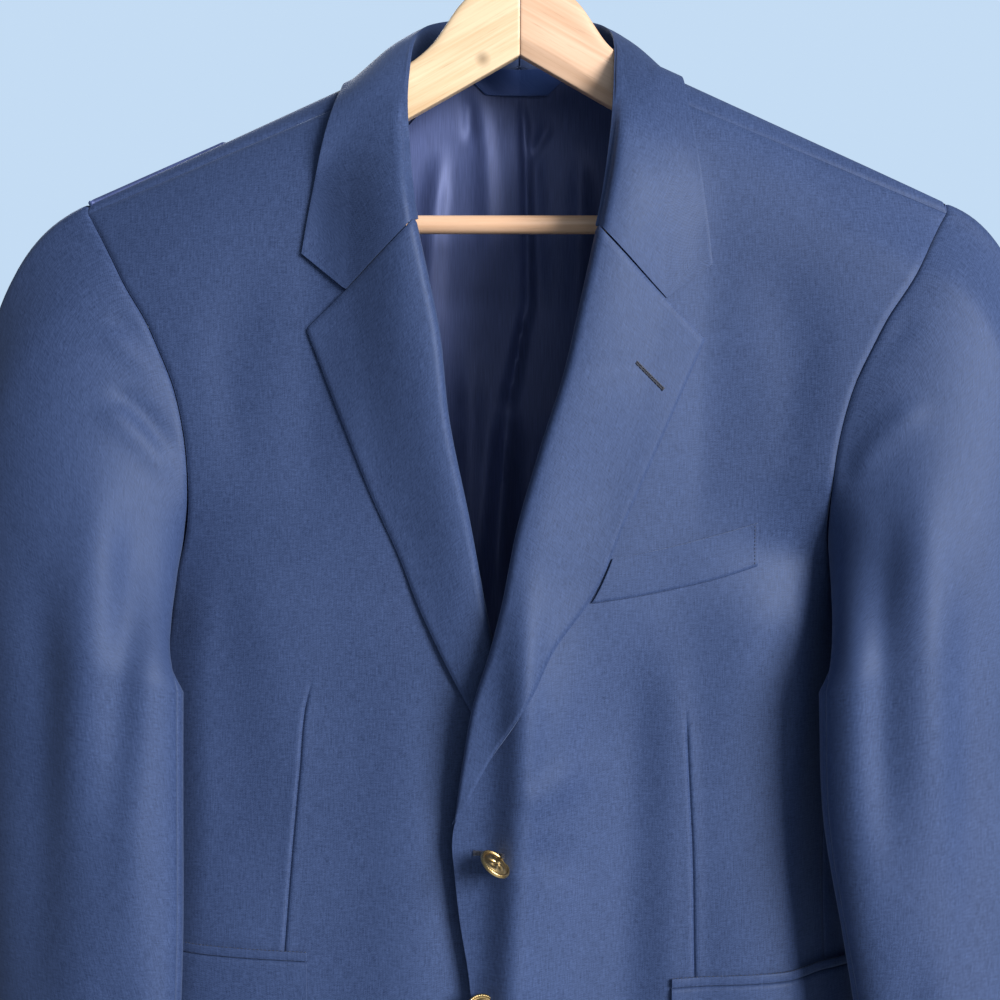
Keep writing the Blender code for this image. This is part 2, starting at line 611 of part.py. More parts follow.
def cap_directions(out):
    """Way that the sleeve leaves the armhole at each column, and how low and how straight it falls there."""
    turn = np.arange(SLEEVE_COLUMNS) / SLEEVE_COLUMNS * TAU
    low = (1 - np.cos(turn)) / 2
    x = out * (1.0 + 0.1 * low)
    y = -0.45 * np.sin(turn)
    z = -0.35 + 0.35 * low
    way = np.column_stack([x, y, z])
    falls = np.exp(-((turn - FRONT_HANG_TURN) / FRONT_HANG_SPREAD) ** 2)
    return way / np.linalg.norm(way, axis=1, keepdims=True), low, falls[:, None]


def sleeve_grid(out):
    start = armhole(out)
    way, low, falls = cap_directions(out)
    start = start + way * 2 * GAP
    end = sleeve_ring(out, SLEEVE["z"][0])
    span = np.linalg.norm(end - start, axis=1, keepdims=True)
    leave = way * span * (0.95 - 0.05 * low[:, None]) * (1 - falls) + (end - start) * falls
    arrive = np.array([0, 0, -1]) * span * (0.9 - 0.3 * low[:, None])
    rows = []
    for t in np.linspace(0, 1, CAP_ROWS):
        row = ((2 * t**3 - 3 * t**2 + 1) * start + (t**3 - 2 * t**2 + t) * leave
               + (3 * t**2 - 2 * t**3) * end + (t**3 - t**2) * arrive)
        row[:, 0] += out * ARMPIT_BULGE * low**2 * (1 - falls[:, 0]) * math.sin(math.pi * t)
        rows.append(row)
    for z in np.linspace(SLEEVE["z"][0], CUFF_Z, 8)[1:]:
        rows.append(sleeve_ring(out, z))
    return np.array(rows)


def build_sleeves():
    for side, out in (("left", 1), ("right", -1)):
        grid = sleeve_grid(out)
        under = grid[:, FRONT_SEAM_COLUMN:HIND_SEAM_COLUMN + 1]
        upper = np.concatenate([grid[:, HIND_SEAM_COLUMN:], grid[:, :FRONT_SEAM_COLUMN + 1]], axis=1)
        seams = ("start", "end")
        cloth_piece(f"sleeve_upper_{side}", inset(upper, seams, 3 * GAP), wool, SLEEVE_CLOTH, outward=-out)
        cloth_piece(f"sleeve_under_{side}", inset(under, seams, 3 * GAP), wool, SLEEVE_CLOTH, outward=-out)


# ---------------------------------------------------------------- pockets
WELT_RISE = 2.0
WELT_CLOTH = 1.4
WELT = {  # top and bottom edges of the breast welt
    "x": [44.0, 68.0, 92.0, 118.0, 142.1],
    "top": [-446.5, -442.5, -437.4, -430.8, -423.6],
    "bottom": [-471.2, -467.8, -463.3, -457.4, -450.0],
}
POCKET_LENGTH = 152.0
FLAP_DEPTH = 54.0
JET_WIDTH = 5.6
JET_RISE = 1.9
FLAP_RISE = 2.4
FLAP_CLOTH = 1.6
FLAP_CORNER = 14.0
HIP_POCKETS = {  # inner end, and height of the mouth at its inner and outer ends
    "left": {"out": 1, "x": 90.3, "inner_z": -703.0, "outer_z": -696.0},
    "right": {"out": -1, "x": -128.9, "inner_z": -688.4, "outer_z": -681.0},
}


def raised(grid, rise, outward):
    """The grid moved out of the cloth along its own normals."""
    return grid + normals(grid) * rise * outward


def build_breast_welt():
    rows = []
    for share in np.linspace(0, 1, 4):
        x = np.linspace(WELT["x"][0], WELT["x"][-1], 13)
        z = curve(WELT["x"], WELT["top"], x) * (1 - share) + curve(WELT["x"], WELT["bottom"], x) * share
        clear = curve(LAPEL_EDGE_OVER["z"], LAPEL_EDGE_OVER["x"], z) + 1.5
        x = x + (clear - WELT["x"][0]) * (WELT["x"][-1] - x) / (WELT["x"][-1] - WELT["x"][0])
        z = curve(WELT["x"], WELT["top"], x) * (1 - share) + curve(WELT["x"], WELT["bottom"], x) * share
        rows.append(np.column_stack([x, layer_y("over", x, z), z]))
    grid = raised(np.array(rows), WELT_RISE, 1)
    cloth_piece("breast_welt", grid, wool, WELT_CLOTH, outward=1)


def level_line(side, z):
    """Level section of one side from its front edge round to the back seam."""
    pocket = HIP_POCKETS[side]
    out = pocket["out"]
    layer = "over" if out > 0 else "under"
    x = np.linspace(pocket["x"], outer_edge_front(layer, z), FINE)
    front = np.stack([x, layer_y(layer, x, z), np.full(FINE, z)], axis=-1)
    arc = level_arc(out, z, curve(SIDE_SEAM_FRONT["z"], SIDE_SEAM_FRONT["half"], z),
                    curve(SIDE_SEAM_BACK["z"], SIDE_SEAM_BACK["half"], z))
    return np.vstack([front, arc[1:]])


def on_side(side, length, z):
    """Point at a length along the level section from the pocket's inner end."""
    line = level_line(side, z)
    run = np.concatenate([[0], np.cumsum(np.linalg.norm(np.diff(line, axis=0), axis=1))])
    return np.array([np.interp(length, run, line[:, axis]) for axis in range(3)])


def pocket_grid(side, lengths, top, depths):
    """Rows of a pocket piece, from its mouth line down by a depth at each column."""
    pocket = HIP_POCKETS[side]
    rows = []
    for share in np.linspace(0, 1, depths.shape[0]):
        row = []
        for column, length in enumerate(lengths):
            mouth = pocket["inner_z"] + (pocket["outer_z"] - pocket["inner_z"]) * length / POCKET_LENGTH
            depth = depths[int(round(share * (depths.shape[0] - 1))), column]
            row.append(on_side(side, length, mouth + top - depth))
        rows.append(row)
    return np.array(rows)


def build_hip_pockets():
    for side, pocket in HIP_POCKETS.items():
        out = pocket["out"]
        lengths = np.linspace(0, POCKET_LENGTH, 14)
        jet = pocket_grid(side, lengths, JET_WIDTH + GAP, np.outer([0, 0.5, 1], np.full(14, JET_WIDTH)))
        cloth_piece(f"pocket_jet_{side}", raised(jet, JET_RISE, out), wool, 1.2, outward=out)
        corner = np.minimum(lengths, POCKET_LENGTH - lengths)
        beside = np.clip(FLAP_CORNER - corner, 0, None)
        lift = FLAP_CORNER - np.sqrt(FLAP_CORNER**2 - beside**2)
        depths = np.outer(np.linspace(0, 1, 5), FLAP_DEPTH - lift)
        flap = pocket_grid(side, lengths, -GAP, depths)
        cloth_piece(f"pocket_flap_{side}", raised(flap, FLAP_RISE, out), wool, FLAP_CLOTH, outward=out)


# ---------------------------------------------------------------- lining and label
LINING_CLEAR = 4.0
LINING_CLOTH = 1.0
LINING = {  # half width of the back lining at each level
    "z": [-124, -150, -185, -225, -275, -335, -400, -476, -560, -650, -740, -830, -905],
    "half": [35, 53, 80, 116, 160, 205, 214, 216, 208, 200, 204, 209, 212],
}
LABEL = {"top": -124.5, "bottom": -141.5, "half_top": 32.0, "half_bottom": 20.5, "middle": -1.5, "before": 1.6}


def lining_y(x, z):
    """Inner face of the back, drawn forward by the lining's ease."""
    return back_y(x, z) - CLOTH - LINING_CLEAR


def build_lining():
    rows = []
    for z, half in zip(LINING["z"], LINING["half"]):
        x = sway(z) + np.linspace(-half, half, 13)
        rows.append(np.column_stack([x, lining_y(x, z), np.full(13, z)]))
    cloth_piece("lining_back", np.array(rows), satin, LINING_CLOTH, outward=1)
    label = []
    for share in (0.0, 0.5, 1.0):
        z = LABEL["top"] + (LABEL["bottom"] - LABEL["top"]) * share
        half = LABEL["half_top"] + (LABEL["half_bottom"] - LABEL["half_top"]) * share
        x = LABEL["middle"] + np.linspace(-half, half, 9)
        label.append(np.column_stack([x, lining_y(x, z) - LABEL["before"], np.full(9, z)]))
    cloth_piece("neck_label", np.array(label), label_satin, 0.6, outward=1)


# ---------------------------------------------------------------- buttons
BUTTON_PROFILE = [  # dome, rim, back and shank: radius and height along the button's own axis
    (0.0, 2.6), (2.6, 2.5), (5.2, 2.1), (7.4, 1.45), (8.1, 1.2), (8.7, 1.75), (9.5, 1.9), (10.1, 1.5), (10.3, 0.7),
    (9.9, -0.2), (8.6, -0.9), (3.0, -1.1), (2.1, -1.6), (2.0, -3.4), (0.0, -3.4),
]
BUTTON_SIDES = 16
FRONT_BUTTONS = {  # middle in the front view, distance before the cloth and tilt of the face from straight ahead
    "upper": {"x": -16.2, "z": -624.6, "before": 9.8, "tilt": 62.0, "towards": 52.0},
    "lower": {"x": -23.4, "z": -713.5, "before": 5.0, "tilt": 24.0, "towards": 80.0},
}
CUFF_BUTTON_RADIUS = 7.5
CUFF_BUTTON_PROFILE = [
    (0.0, 1.5), (4.8, 1.3), (6.2, 1.6), (7.5, 0.9), (7.2, -0.2), (1.9, -0.4), (1.8, -1.2), (0.0, -1.2),
]
CUFF_BUTTON_SIDES = 10
CUFF_BUTTONS = 4
CUFF_BUTTON_PITCH = 16.0
CUFF_BUTTON_FIRST = 34.0  # above the cuff's edge
CUFF_BUTTON_COLUMN = 19.8
CUFF_BUTTON_CLEAR = 1.6  # the button's middle above the sleeve


def turned_button(name, profile, sides, place, facing):
    """A button turned about its axis, then set with its face along `facing`."""
    mesh = bpy.data.meshes.new(name)
    points = [(radius * MM, 0.0, height * MM) for radius, height in profile]
    mesh.from_pydata(points, [(i, i + 1) for i in range(len(points) - 1)], [])
    mesh.materials.append(brass)
    button = bpy.data.objects.new(name, mesh)
    blazer.objects.link(button)
    turn = button.modifiers.new("turn", "SCREW")
    turn.axis = "Z"
    turn.angle = TAU
    turn.steps = turn.render_steps = sides
    turn.use_merge_vertices = True
    turn.merge_threshold = 0.00001
    button.location = Vector(place) * MM
    button.rotation_euler = Vector(facing).to_track_quat("Z", "Y").to_euler()
    return button


def build_buttons():
    for name, spot in FRONT_BUTTONS.items():
        tilt, towards = math.radians(spot["tilt"]), math.radians(spot["towards"])
        facing = (math.sin(tilt) * math.cos(towards), -math.cos(tilt), math.sin(tilt) * math.sin(towards))
        y = float(layer_y("over", spot["x"], spot["z"])) - spot["before"]
        turned_button(f"button_front_{name}", BUTTON_PROFILE, BUTTON_SIDES, (spot["x"], y, spot["z"]), facing)
    for side, out in (("left", 1), ("right", -1)):
        for number in range(CUFF_BUTTONS):
            z = CUFF_Z + CUFF_BUTTON_FIRST + CUFF_BUTTON_PITCH * number
            ring, above = sleeve_ring(out, z), sleeve_ring(out, z + CUFF_BUTTON_RADIUS)
            first = int(CUFF_BUTTON_COLUMN)
            share = CUFF_BUTTON_COLUMN - first
            spot = ring[first] * (1 - share) + ring[first + 1] * share
            across = ring[first + 1] - ring[first]
            facing = np.cross(above[first] - ring[first], across) * out
            facing /= np.linalg.norm(facing)
            turned_button(f"button_cuff_{side}_{number + 1}", CUFF_BUTTON_PROFILE, CUFF_BUTTON_SIDES,
                          spot + facing * CUFF_BUTTON_CLEAR, facing)


# ---------------------------------------------------------------- hanger
ARM_SECTION_SIDES = 14
ARM_CORNER = 0.75  # 1 is an ellipse, less is squarer
ARM_START_X = 0.15
ARM_ROUND_X = 196.0  # the underside turns up beyond here
ARM_ROUND_RISE = 16.0
ARM_THIN_X = 205.0  # the end thins beyond here
ARM_THIN = 0.35
ARM_END_X = 222.0
HANGER_TOP_Z = -78.0
ARM_SLOPE = 0.572
APEX_Z = -128.8
ARM_TOP = {
    "x": [ARM_START_X, 12, 22, 32, 40, 47, 53, 60, 68, 90, 112, 150, 190, 214, ARM_END_X],
    "z": [HANGER_TOP_Z, -79.0, -83.5, -91.0, -99.5, -110.0, -119.0, -126.5, -133.0, -144.2, -155.3, -173.8, -193.8,
          -206.5, -220.0],
}
ARM_FORM = {
    "x": [0, 60, 110, 160, ARM_END_X],
    "middle_y": [4.0, 4.0, 0.0, -5.0, -12.0],
    "half_depth": [7.5, 7.5, 9.0, 12.5, 14.0],
}
BAR_SIDES = 12
BAR_MIDDLE = 0.3  # share of the bar between its two inner rings
BAR_RADIUS = 5.8
BAR_Z = -238.0
BAR_Y = -10.0
BAR_END_GAP = 0.8
HOOK_WIRE = 1.9
HOOK_INNER = 19.0
FERRULE_RADIUS = 6.0
FERRULE_HEIGHT = 5.0
FERRULE_SIDES = 20
HOOK_Y = 1.0
HOOK_FROM = -58.0  # degrees round the hook's circle, from where its stem joins to its tip
HOOK_TO = 200.0
HOOK_POINTS = 20
STEM_POINTS = 7
STEM_RISE = 16.0
STEM_LEAN = (9.0, 0.0, 4.6)  # the stem comes to the circle along its own way


def arm_underside(x):
    """Underside of an arm: straight from the apex, turning up over its rounded end."""
    end = np.clip((x - ARM_ROUND_X) / (ARM_END_X - ARM_ROUND_X), 0, 1)
    return APEX_Z - ARM_SLOPE * x + ARM_ROUND_RISE * end**3


def closed_loft(name, rings, material):
    """A solid through closed rings, with an end face on its first and last ring."""
    rings = np.array(rings)
    count = rings.shape[1]
    faces = grid_faces(rings.shape[0], count, True)
    faces.append(list(range(count)))
    faces.append(list(range(rings.shape[0] * count - 1, (rings.shape[0] - 1) * count - 1, -1)))
    piece = add_object(name, rings, faces, material)
    mesh = piece.data
    body = bmesh.new()
    body.from_mesh(mesh)
    bmesh.ops.recalc_face_normals(body, faces=body.faces)
    body.to_mesh(mesh)
    body.free()
    return piece


def build_arms():
    turn = np.arange(ARM_SECTION_SIDES) / ARM_SECTION_SIDES * TAU
    across = np.sign(np.cos(turn)) * np.abs(np.cos(turn)) ** ARM_CORNER
    upright = np.sign(np.sin(turn)) * np.abs(np.sin(turn)) ** ARM_CORNER
    for side, out in (("left", 1), ("right", -1)):
        rings = []
        for x, top in zip(ARM_TOP["x"], ARM_TOP["z"]):
            bottom = arm_underside(x)
            y = curve(ARM_FORM["x"], ARM_FORM["middle_y"], x)
            thin = 1 - ARM_THIN * smoothstep((x - ARM_THIN_X) / (ARM_END_X - ARM_THIN_X))
            half = curve(ARM_FORM["x"], ARM_FORM["half_depth"], x) * thin
            rings.append(np.column_stack([np.full(len(turn), out * x), y + half * across,
                                          (top + bottom) / 2 + (top - bottom) / 2 * upright]))
        closed_loft(f"hanger_arm_{side}", rings, wood)


def build_bar():
    """The round bar, its ends cut to the arms' slope."""
    turn = np.arange(BAR_SIDES) / BAR_SIDES * TAU
    y, z = BAR_Y + BAR_RADIUS * np.cos(turn), BAR_Z + BAR_RADIUS * np.sin(turn)
    reach = (APEX_Z - z) / ARM_SLOPE - BAR_END_GAP
    places = (-1, -BAR_MIDDLE, BAR_MIDDLE, 1)
    closed_loft("hanger_bar", [np.column_stack([place * reach, y, z]) for place in places], wood)


def build_ferrule():
    height = HANGER_TOP_Z + GAP + FERRULE_HEIGHT / 2
    bpy.ops.mesh.primitive_cylinder_add(vertices=FERRULE_SIDES, radius=FERRULE_RADIUS * MM,
                                        depth=FERRULE_HEIGHT * MM, location=(0, HOOK_Y * MM, height * MM))
    ferrule = bpy.context.object
    ferrule.name = "hanger_ferrule"
    ferrule.data.materials.append(steel)
    for collection in list(ferrule.users_collection):
        collection.objects.unlink(ferrule)
    blazer.objects.link(ferrule)


def build_hook():
    """A wire of one bend and one stem; the inner top of its bend is the origin."""
    radius = HOOK_INNER + HOOK_WIRE
    angles = np.radians(np.linspace(HOOK_FROM, HOOK_TO, HOOK_POINTS))
    circle = np.column_stack([radius * np.cos(angles), np.full(HOOK_POINTS, HOOK_Y),
                              radius * np.sin(angles) - HOOK_INNER])
    foot = np.array([0, HOOK_Y, HANGER_TOP_Z + 2 * GAP + FERRULE_HEIGHT])
    stem = bezier(foot, foot + [0, 0, STEM_RISE], circle[0] - STEM_LEAN, circle[0], STEM_POINTS)
    path = np.vstack([stem[:-1], circle])
    wire = bpy.data.curves.new("hanger_hook", "CURVE")
    wire.dimensions = "3D"
    wire.bevel_depth = HOOK_WIRE * MM
    wire.bevel_resolution = 2
    wire.use_fill_caps = True
    spline = wire.splines.new("POLY")
    spline.points.add(len(path) - 1)
    for point, place in zip(spline.points, path):
        point.co = (*(Vector(place) * MM), 1)
    wire.materials.append(steel)
    blazer.objects.link(bpy.data.objects.new("hanger_hook", wire))


# ---------------------------------------------------------------- the whole
for old in list(bpy.data.objects):
    bpy.data.objects.remove(old)
blazer = bpy.data.collections.new("blazer_on_hanger")
bpy.context.scene.collection.children.link(blazer)
wool = make_material("navy_wool", (0.045, 0.066, 0.14), 0.8)
satin = make_material("navy_satin", (0.05, 0.07, 0.2), 0.4)
label_satin = make_material("label_satin", (0.05, 0.1, 0.3), 0.4)
brass = make_material("brass", (0.78, 0.6, 0.28), 0.3, 1.0)
wood = make_material("pale_wood", (0.78, 0.58, 0.38), 0.5)
steel = make_material("bright_steel", (0.75, 0.75, 0.74), 0.25, 1.0)
build_body()
build_lapels()
build_collar()
build_sleeves()
build_breast_welt()
build_hip_pockets()
build_lining()
build_buttons()
build_arms()
build_bar()
build_ferrule()
build_hook()
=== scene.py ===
"""The looks of a navy single breasted blazer on a pale wooden hanger.

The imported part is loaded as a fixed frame. Every cloth wall of it is replaced by a fine shell on the same
cut, with its rolls, creases, seams and stitches; the wood, the wire and the brass get their finishes. Sizes
are millimetres, the wearer's left is +X and the fronts face -Y, with the origin at the inner top of the hook.
"""

from __future__ import annotations

import logging
import math
import sys
from dataclasses import dataclass, field
from enum import Enum
from typing import Iterable, Sequence

import bmesh
import bpy
import numpy as np
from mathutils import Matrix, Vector

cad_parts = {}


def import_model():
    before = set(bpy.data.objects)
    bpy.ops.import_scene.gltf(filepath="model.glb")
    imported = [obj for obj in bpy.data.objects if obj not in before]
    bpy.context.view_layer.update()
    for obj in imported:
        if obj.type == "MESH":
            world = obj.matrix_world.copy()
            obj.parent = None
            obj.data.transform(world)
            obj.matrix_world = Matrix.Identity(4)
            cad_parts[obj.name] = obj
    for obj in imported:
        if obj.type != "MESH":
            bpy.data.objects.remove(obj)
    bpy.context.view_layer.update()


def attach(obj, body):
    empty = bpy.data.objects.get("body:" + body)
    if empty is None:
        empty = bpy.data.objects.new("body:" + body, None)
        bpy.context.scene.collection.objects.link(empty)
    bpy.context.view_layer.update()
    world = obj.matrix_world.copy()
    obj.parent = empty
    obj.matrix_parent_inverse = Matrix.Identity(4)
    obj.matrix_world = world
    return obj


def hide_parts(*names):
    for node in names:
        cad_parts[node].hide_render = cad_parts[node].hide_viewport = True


log = logging.getLogger("blazer")

Array = np.ndarray
Numbers = Array | float
Pair = tuple[float, float]
Triple = tuple[float, float, float]
Material = bpy.types.Material
Piece = bpy.types.Object

MM = 0.001
TAU = 2 * math.pi
HEM_Z = -930.0
ARMPIT_Z = -476.0
CLOTH = 1.7  # wall of the solids' panels
SEAM_GAP = 0.12  # between two shells at a seam
TURNED_IN = 2.4  # seam allowance inside the cloth
UNDERLAP = 0.9  # of a seam allowance under its neighbour


class Side(Enum):
    """A side of the wearer. The value is the sign of its X."""

    LEFT = 1
    RIGHT = -1

    @property
    def word(self) -> str:
        """The side's name as the nodes use it."""
        return self.name.lower()


class Border(Enum):
    """A border of a grid: the axis that it ends, its own place there and the place beside it."""

    TOP = (0, 0, 1)
    BOTTOM = (0, -1, -2)
    START = (1, 0, 1)
    END = (1, -1, -2)


PANEL_SEAMS = (Border.TOP, Border.START, Border.END)  # of a panel that is sewn to the next on both sides


def by_side(left: object, right: object) -> object:
    """Field of a class that holds one value for each side."""
    return field(default_factory=lambda: {Side.LEFT: left, Side.RIGHT: right})


# ---- reading tables and measuring lines
def smooth(t: Numbers) -> Array:
    """Eased step, three t squared less two t cubed, held to 0 and 1 outside."""
    t = np.clip(t, 0.0, 1.0)
    return t * t * (3 - 2 * t)


def eased(value: Array, start: float, reach: float) -> Array:
    """Eased step that is nothing up to a start and 1 from a reach beyond it."""
    return smooth((value - start) / reach)


def read_curve(keys: Sequence[float], values: Sequence[float], at: Numbers) -> Array:
    """Cubic pieces through the table's points, each point's slope being that of its neighbours' chord.

    Args:
        keys: Places of the table's rows, rising or falling.
        values: Value at each place.
        at: Places to read, held to the table's ends.

    Returns:
        The values read.
    """
    k = np.asarray(keys, float)
    v = np.asarray(values, float)
    if k[0] > k[-1]:
        k, v = k[::-1], v[::-1]
    slope = np.gradient(v, k)
    t = np.clip(np.asarray(at, float), k[0], k[-1])
    i = np.clip(np.searchsorted(k, t) - 1, 0, len(k) - 2)
    span = k[i + 1] - k[i]
    s = (t - k[i]) / span
    first = 2 * s**3 - 3 * s**2 + 1
    leave, arrive = s**3 - 2 * s**2 + s, s**3 - s**2
    return first * v[i] + leave * span * slope[i] + (1 - first) * v[i + 1] + arrive * span * slope[i + 1]


@dataclass(frozen=True)
class Table:
    """Named columns that are read along a key column.

    Attributes:
        key: Name of the key column.
        columns: The columns, the key's among them.
    """

    key: str
    columns: dict[str, list[float]]

    def __call__(self, column: str, at: Numbers) -> Array:
        """Values of one column at places along the key."""
        return read_curve(self.columns[self.key], self.columns[column], at)

    def end(self, column: str, row: int = 0) -> float:
        """The value that a column holds in one row."""
        return self.columns[column][row]


def run_along(points: Array) -> Array:
    """Length of the way along each row of points, from its first point to every one of them."""
    steps = np.linalg.norm(np.diff(points, axis=-2), axis=-1)
    return np.concatenate([np.zeros((*steps.shape[:-1], 1)), np.cumsum(steps, axis=-1)], axis=-1)


def turns(count: int) -> Array:
    """So many even turns round a circle, from 0."""
    return np.arange(count) / count * TAU


def even_line(points: Array, count: int) -> Array:
    """Reads a polyline at points an equal length apart.

    Args:
        points: The line's points, one a row.
        count: Number of points to read.

    Returns:
        The points read.
    """
    length = run_along(points)
    at = np.linspace(0, length[-1], count)
    return np.stack([np.interp(at, length, points[:, axis]) for axis in range(points.shape[1])], axis=-1)


def bezier(p0: Array, p1: Array, p2: Array, p3: Array, count: int) -> Array:
    """So many points of the cubic curve from p0 to p3 that leaves towards p1 and arrives from p2."""
    t = np.linspace(0, 1, count)[:, None]
    return (1 - t) ** 3 * p0 + 3 * t * (1 - t) ** 2 * p1 + 3 * t**2 * (1 - t) * p2 + t**3 * p3


def unit(vectors: Array) -> Array:
    """The vectors at length one."""
    return vectors / np.maximum(np.linalg.norm(vectors, axis=-1, keepdims=True), 1e-9)


def grid_normals(grid: Array) -> Array:
    """Unit normals of a grid: its row direction crossed with its column direction."""
    return unit(np.cross(np.gradient(grid, axis=0), np.gradient(grid, axis=1)))


def finer(levels: Sequence[float], count: int) -> Array:
    """So many levels that pass through the given ones in the same rhythm."""
    return np.interp(np.linspace(0, len(levels) - 1, count), np.arange(len(levels)), levels)


# ---- creases
@dataclass(frozen=True)
class Crease:
    """A soft ridge or trough in cloth, along a bowed line.

    Attributes:
        start: Where it begins, in the plane that its cloth is seen in.
        end: Where it ends.
        depth: Height of the ridge; a trough is negative.
        width: Half width at its start.
        wide_end: Half width at its end.
        bow: Sideways bow at its middle.
        fade: Shares of its length over which it rises and dies away.
    """

    start: Pair
    end: Pair
    depth: float
    width: float
    wide_end: float
    bow: float
    fade: Pair

    def height(self, u: Array, v: Array) -> Array:
        """A bell across the line, eased in and out along it.

        Args:
            u: First coordinate of each point of the cloth.
            v: Second coordinate.

        Returns:
            The height that the crease adds.
        """
        start, end = np.array(self.start), np.array(self.end)
        length = np.linalg.norm(end - start)
        way = (end - start) / length
        along = ((u - start[0]) * way[0] + (v - start[1]) * way[1]) / length
        across = (v - start[1]) * way[0] - (u - start[0]) * way[1]
        across = across - self.bow * 4 * np.clip(along, 0, 1) * (1 - np.clip(along, 0, 1))
        width = self.width + (self.wide_end - self.width) * np.clip(along, 0, 1)
        rise = smooth(along / self.fade[0]) * smooth((1 - along) / self.fade[1])
        return self.depth * np.exp(-((across / width) ** 2)) * rise


def creases(*rows: tuple[float, ...]) -> list[Crease]:
    """Creases from rows of two numbers for start and end, then depth, width, wide end, bow and two fades."""
    return [Crease(row[:2], row[2:4], *row[4:8], row[8:]) for row in rows]


def crease_heights(folds: Iterable[Crease], u: Array, v: Array) -> Array:
    """Sum of the creases' heights at the points of a panel."""
    return sum((fold.height(u, v) for fold in folds), np.zeros(np.shape(u)))


def unevenness(u: Array, v: Array, size: float, seed: float) -> Array:
    """Gentle unevenness of hanging cloth: three crossed waves whose lengths share no rhythm.

    Args:
        u: First coordinate of each point.
        v: Second coordinate.
        size: Height of the strongest wave.
        seed: Phase that tells one panel from another.

    Returns:
        The height at each point.
    """
    slow = np.sin(u / 47 + 0.9 * np.sin(v / 131 + seed) + seed)
    cross = np.sin(v / 61 - u / 89 + 1.7 * seed)
    quick = np.sin(u / 19 + v / 83 + 2.3 * seed) * np.sin(v / 37 + seed)
    return size * (0.55 * slow + 0.3 * cross + 0.15 * quick)


# ---- the form that the cloth takes
@dataclass
class HangingForm:
    """The hollow form of the hung garment: level sections, rounded off over the hanger's slope."""

    slope: float = 0.486
    ridge_at: Pair = (112.0, -152.0)
    neck_slope: float = 0.5
    ridge_start: Pair = (80.0, 2.0)
    ridge_forward: float = 20.0
    ridge_run: float = 185.0
    shoulder_x: float = 265.0
    seam_end_drop: float = 7.0
    round_height: float = 95.0
    round_girth: float = 110.0
    centre_y: float = 10.0
    power: float = 2.6
    sway_rate: float = 0.037
    sway_top: float = -180.0
    sway_depth: float = 510.0
    sections: Table = Table("z", {
        "z": [-226, -300, -380, -476, -600, -720, -930],
        "half_width": [330, 288, 256, 236, 228, 234, 246],
        "front_depth": [56, 59, 60, 60, 57, 58, 60],
        "back_depth": [50, 56, 58, 57, 50, 52, 56],
    })

    def sway(self, z: Numbers) -> Array:
        """Sideways shift of the garment's middle at height z."""
        return -self.sway_rate * np.clip(self.sway_top - np.asarray(z, float), 0, self.sway_depth)

    def ridge_z(self, x: Numbers) -> Array:
        """Height of the shoulder's ridge over |x|: a slope, steeper at the neck."""
        far = np.abs(x)
        rise = self.neck_slope * np.maximum(self.ridge_start[0] - far, 0)
        return self.ridge_at[1] - self.slope * (far - self.ridge_at[0]) + rise

    def ridge_y(self, x: Numbers) -> Array:
        """The ridge runs forward towards the sleeve, as the hanger's arms do."""
        return self.ridge_start[1] - self.ridge_forward * (np.abs(x) - self.ridge_start[0]) / self.ridge_run

    def section(self, x: Array, z: Array, depth: str) -> Array:
        """Superellipse of the level section: nothing at the side and the section's depth at its middle.

        Args:
            x: Sideways place.
            z: Height.
            depth: Column of the sections to use, front_depth or back_depth.

        Returns:
            Distance from the form's middle plane.
        """
        half = self.sections("half_width", z)
        across = np.clip(np.abs(x - self.sway(z)) / half, 0, 1)
        return self.sections(depth, z) * (1 - across**self.power) ** (1 / self.power)

    def rounding(self, x: Array, z: Array) -> Array:
        """Nothing on the shoulder's ridge and 1 below it, along a quarter ellipse."""
        down = np.clip((self.ridge_z(x) - z) / self.round_height, 0, 1)
        return np.sqrt(1 - (1 - down) ** 2)

    def front_y(self, x: Array, z: Array) -> Array:
        """Outer face of the form's front."""
        ridge = self.ridge_y(x)
        return ridge + (self.centre_y - self.section(x, z, "front_depth") - ridge) * self.rounding(x, z)

    def back_y(self, x: Array, z: Array) -> Array:
        """Outer face of the form's back."""
        ridge = self.ridge_y(x)
        return ridge + (self.centre_y + self.section(x, z, "back_depth") - ridge) * self.rounding(x, z)

    def girth_drop(self, girth: Numbers) -> Array:
        """Depth below the ridge at a girth over the shoulder: a quarter circle, then straight down."""
        along = np.abs(girth)
        turn = np.clip(along / self.round_girth, 0, 1) * math.pi / 2
        return self.round_height * (1 - np.cos(turn)) + np.maximum(along - self.round_girth, 0)

    def drop_girth(self, drop: Numbers) -> Array:
        """Girth, without its sign, at a depth below the ridge."""
        turn = np.arccos(1 - np.clip(drop / self.round_height, 0, 1))
        return self.round_girth * turn / (math.pi / 2) + np.maximum(drop - self.round_height, 0)

    def shoulder_top(self, x: Array, y: Array) -> Array:
        """Height of the shoulder's cloth over a place near the ridge, along the same quarter ellipse."""
        ridge, level = self.ridge_y(x), self.sections.end("z")
        front = ridge - self.centre_y + self.section(x, level, "front_depth")
        back = self.centre_y + self.section(x, level, "back_depth") - ridge
        share = np.clip(np.abs(y - ridge) / np.where(y < ridge, front, back), 0, 0.97)
        return self.ridge_z(x) - self.round_height * (1 - np.sqrt(1 - share**2))


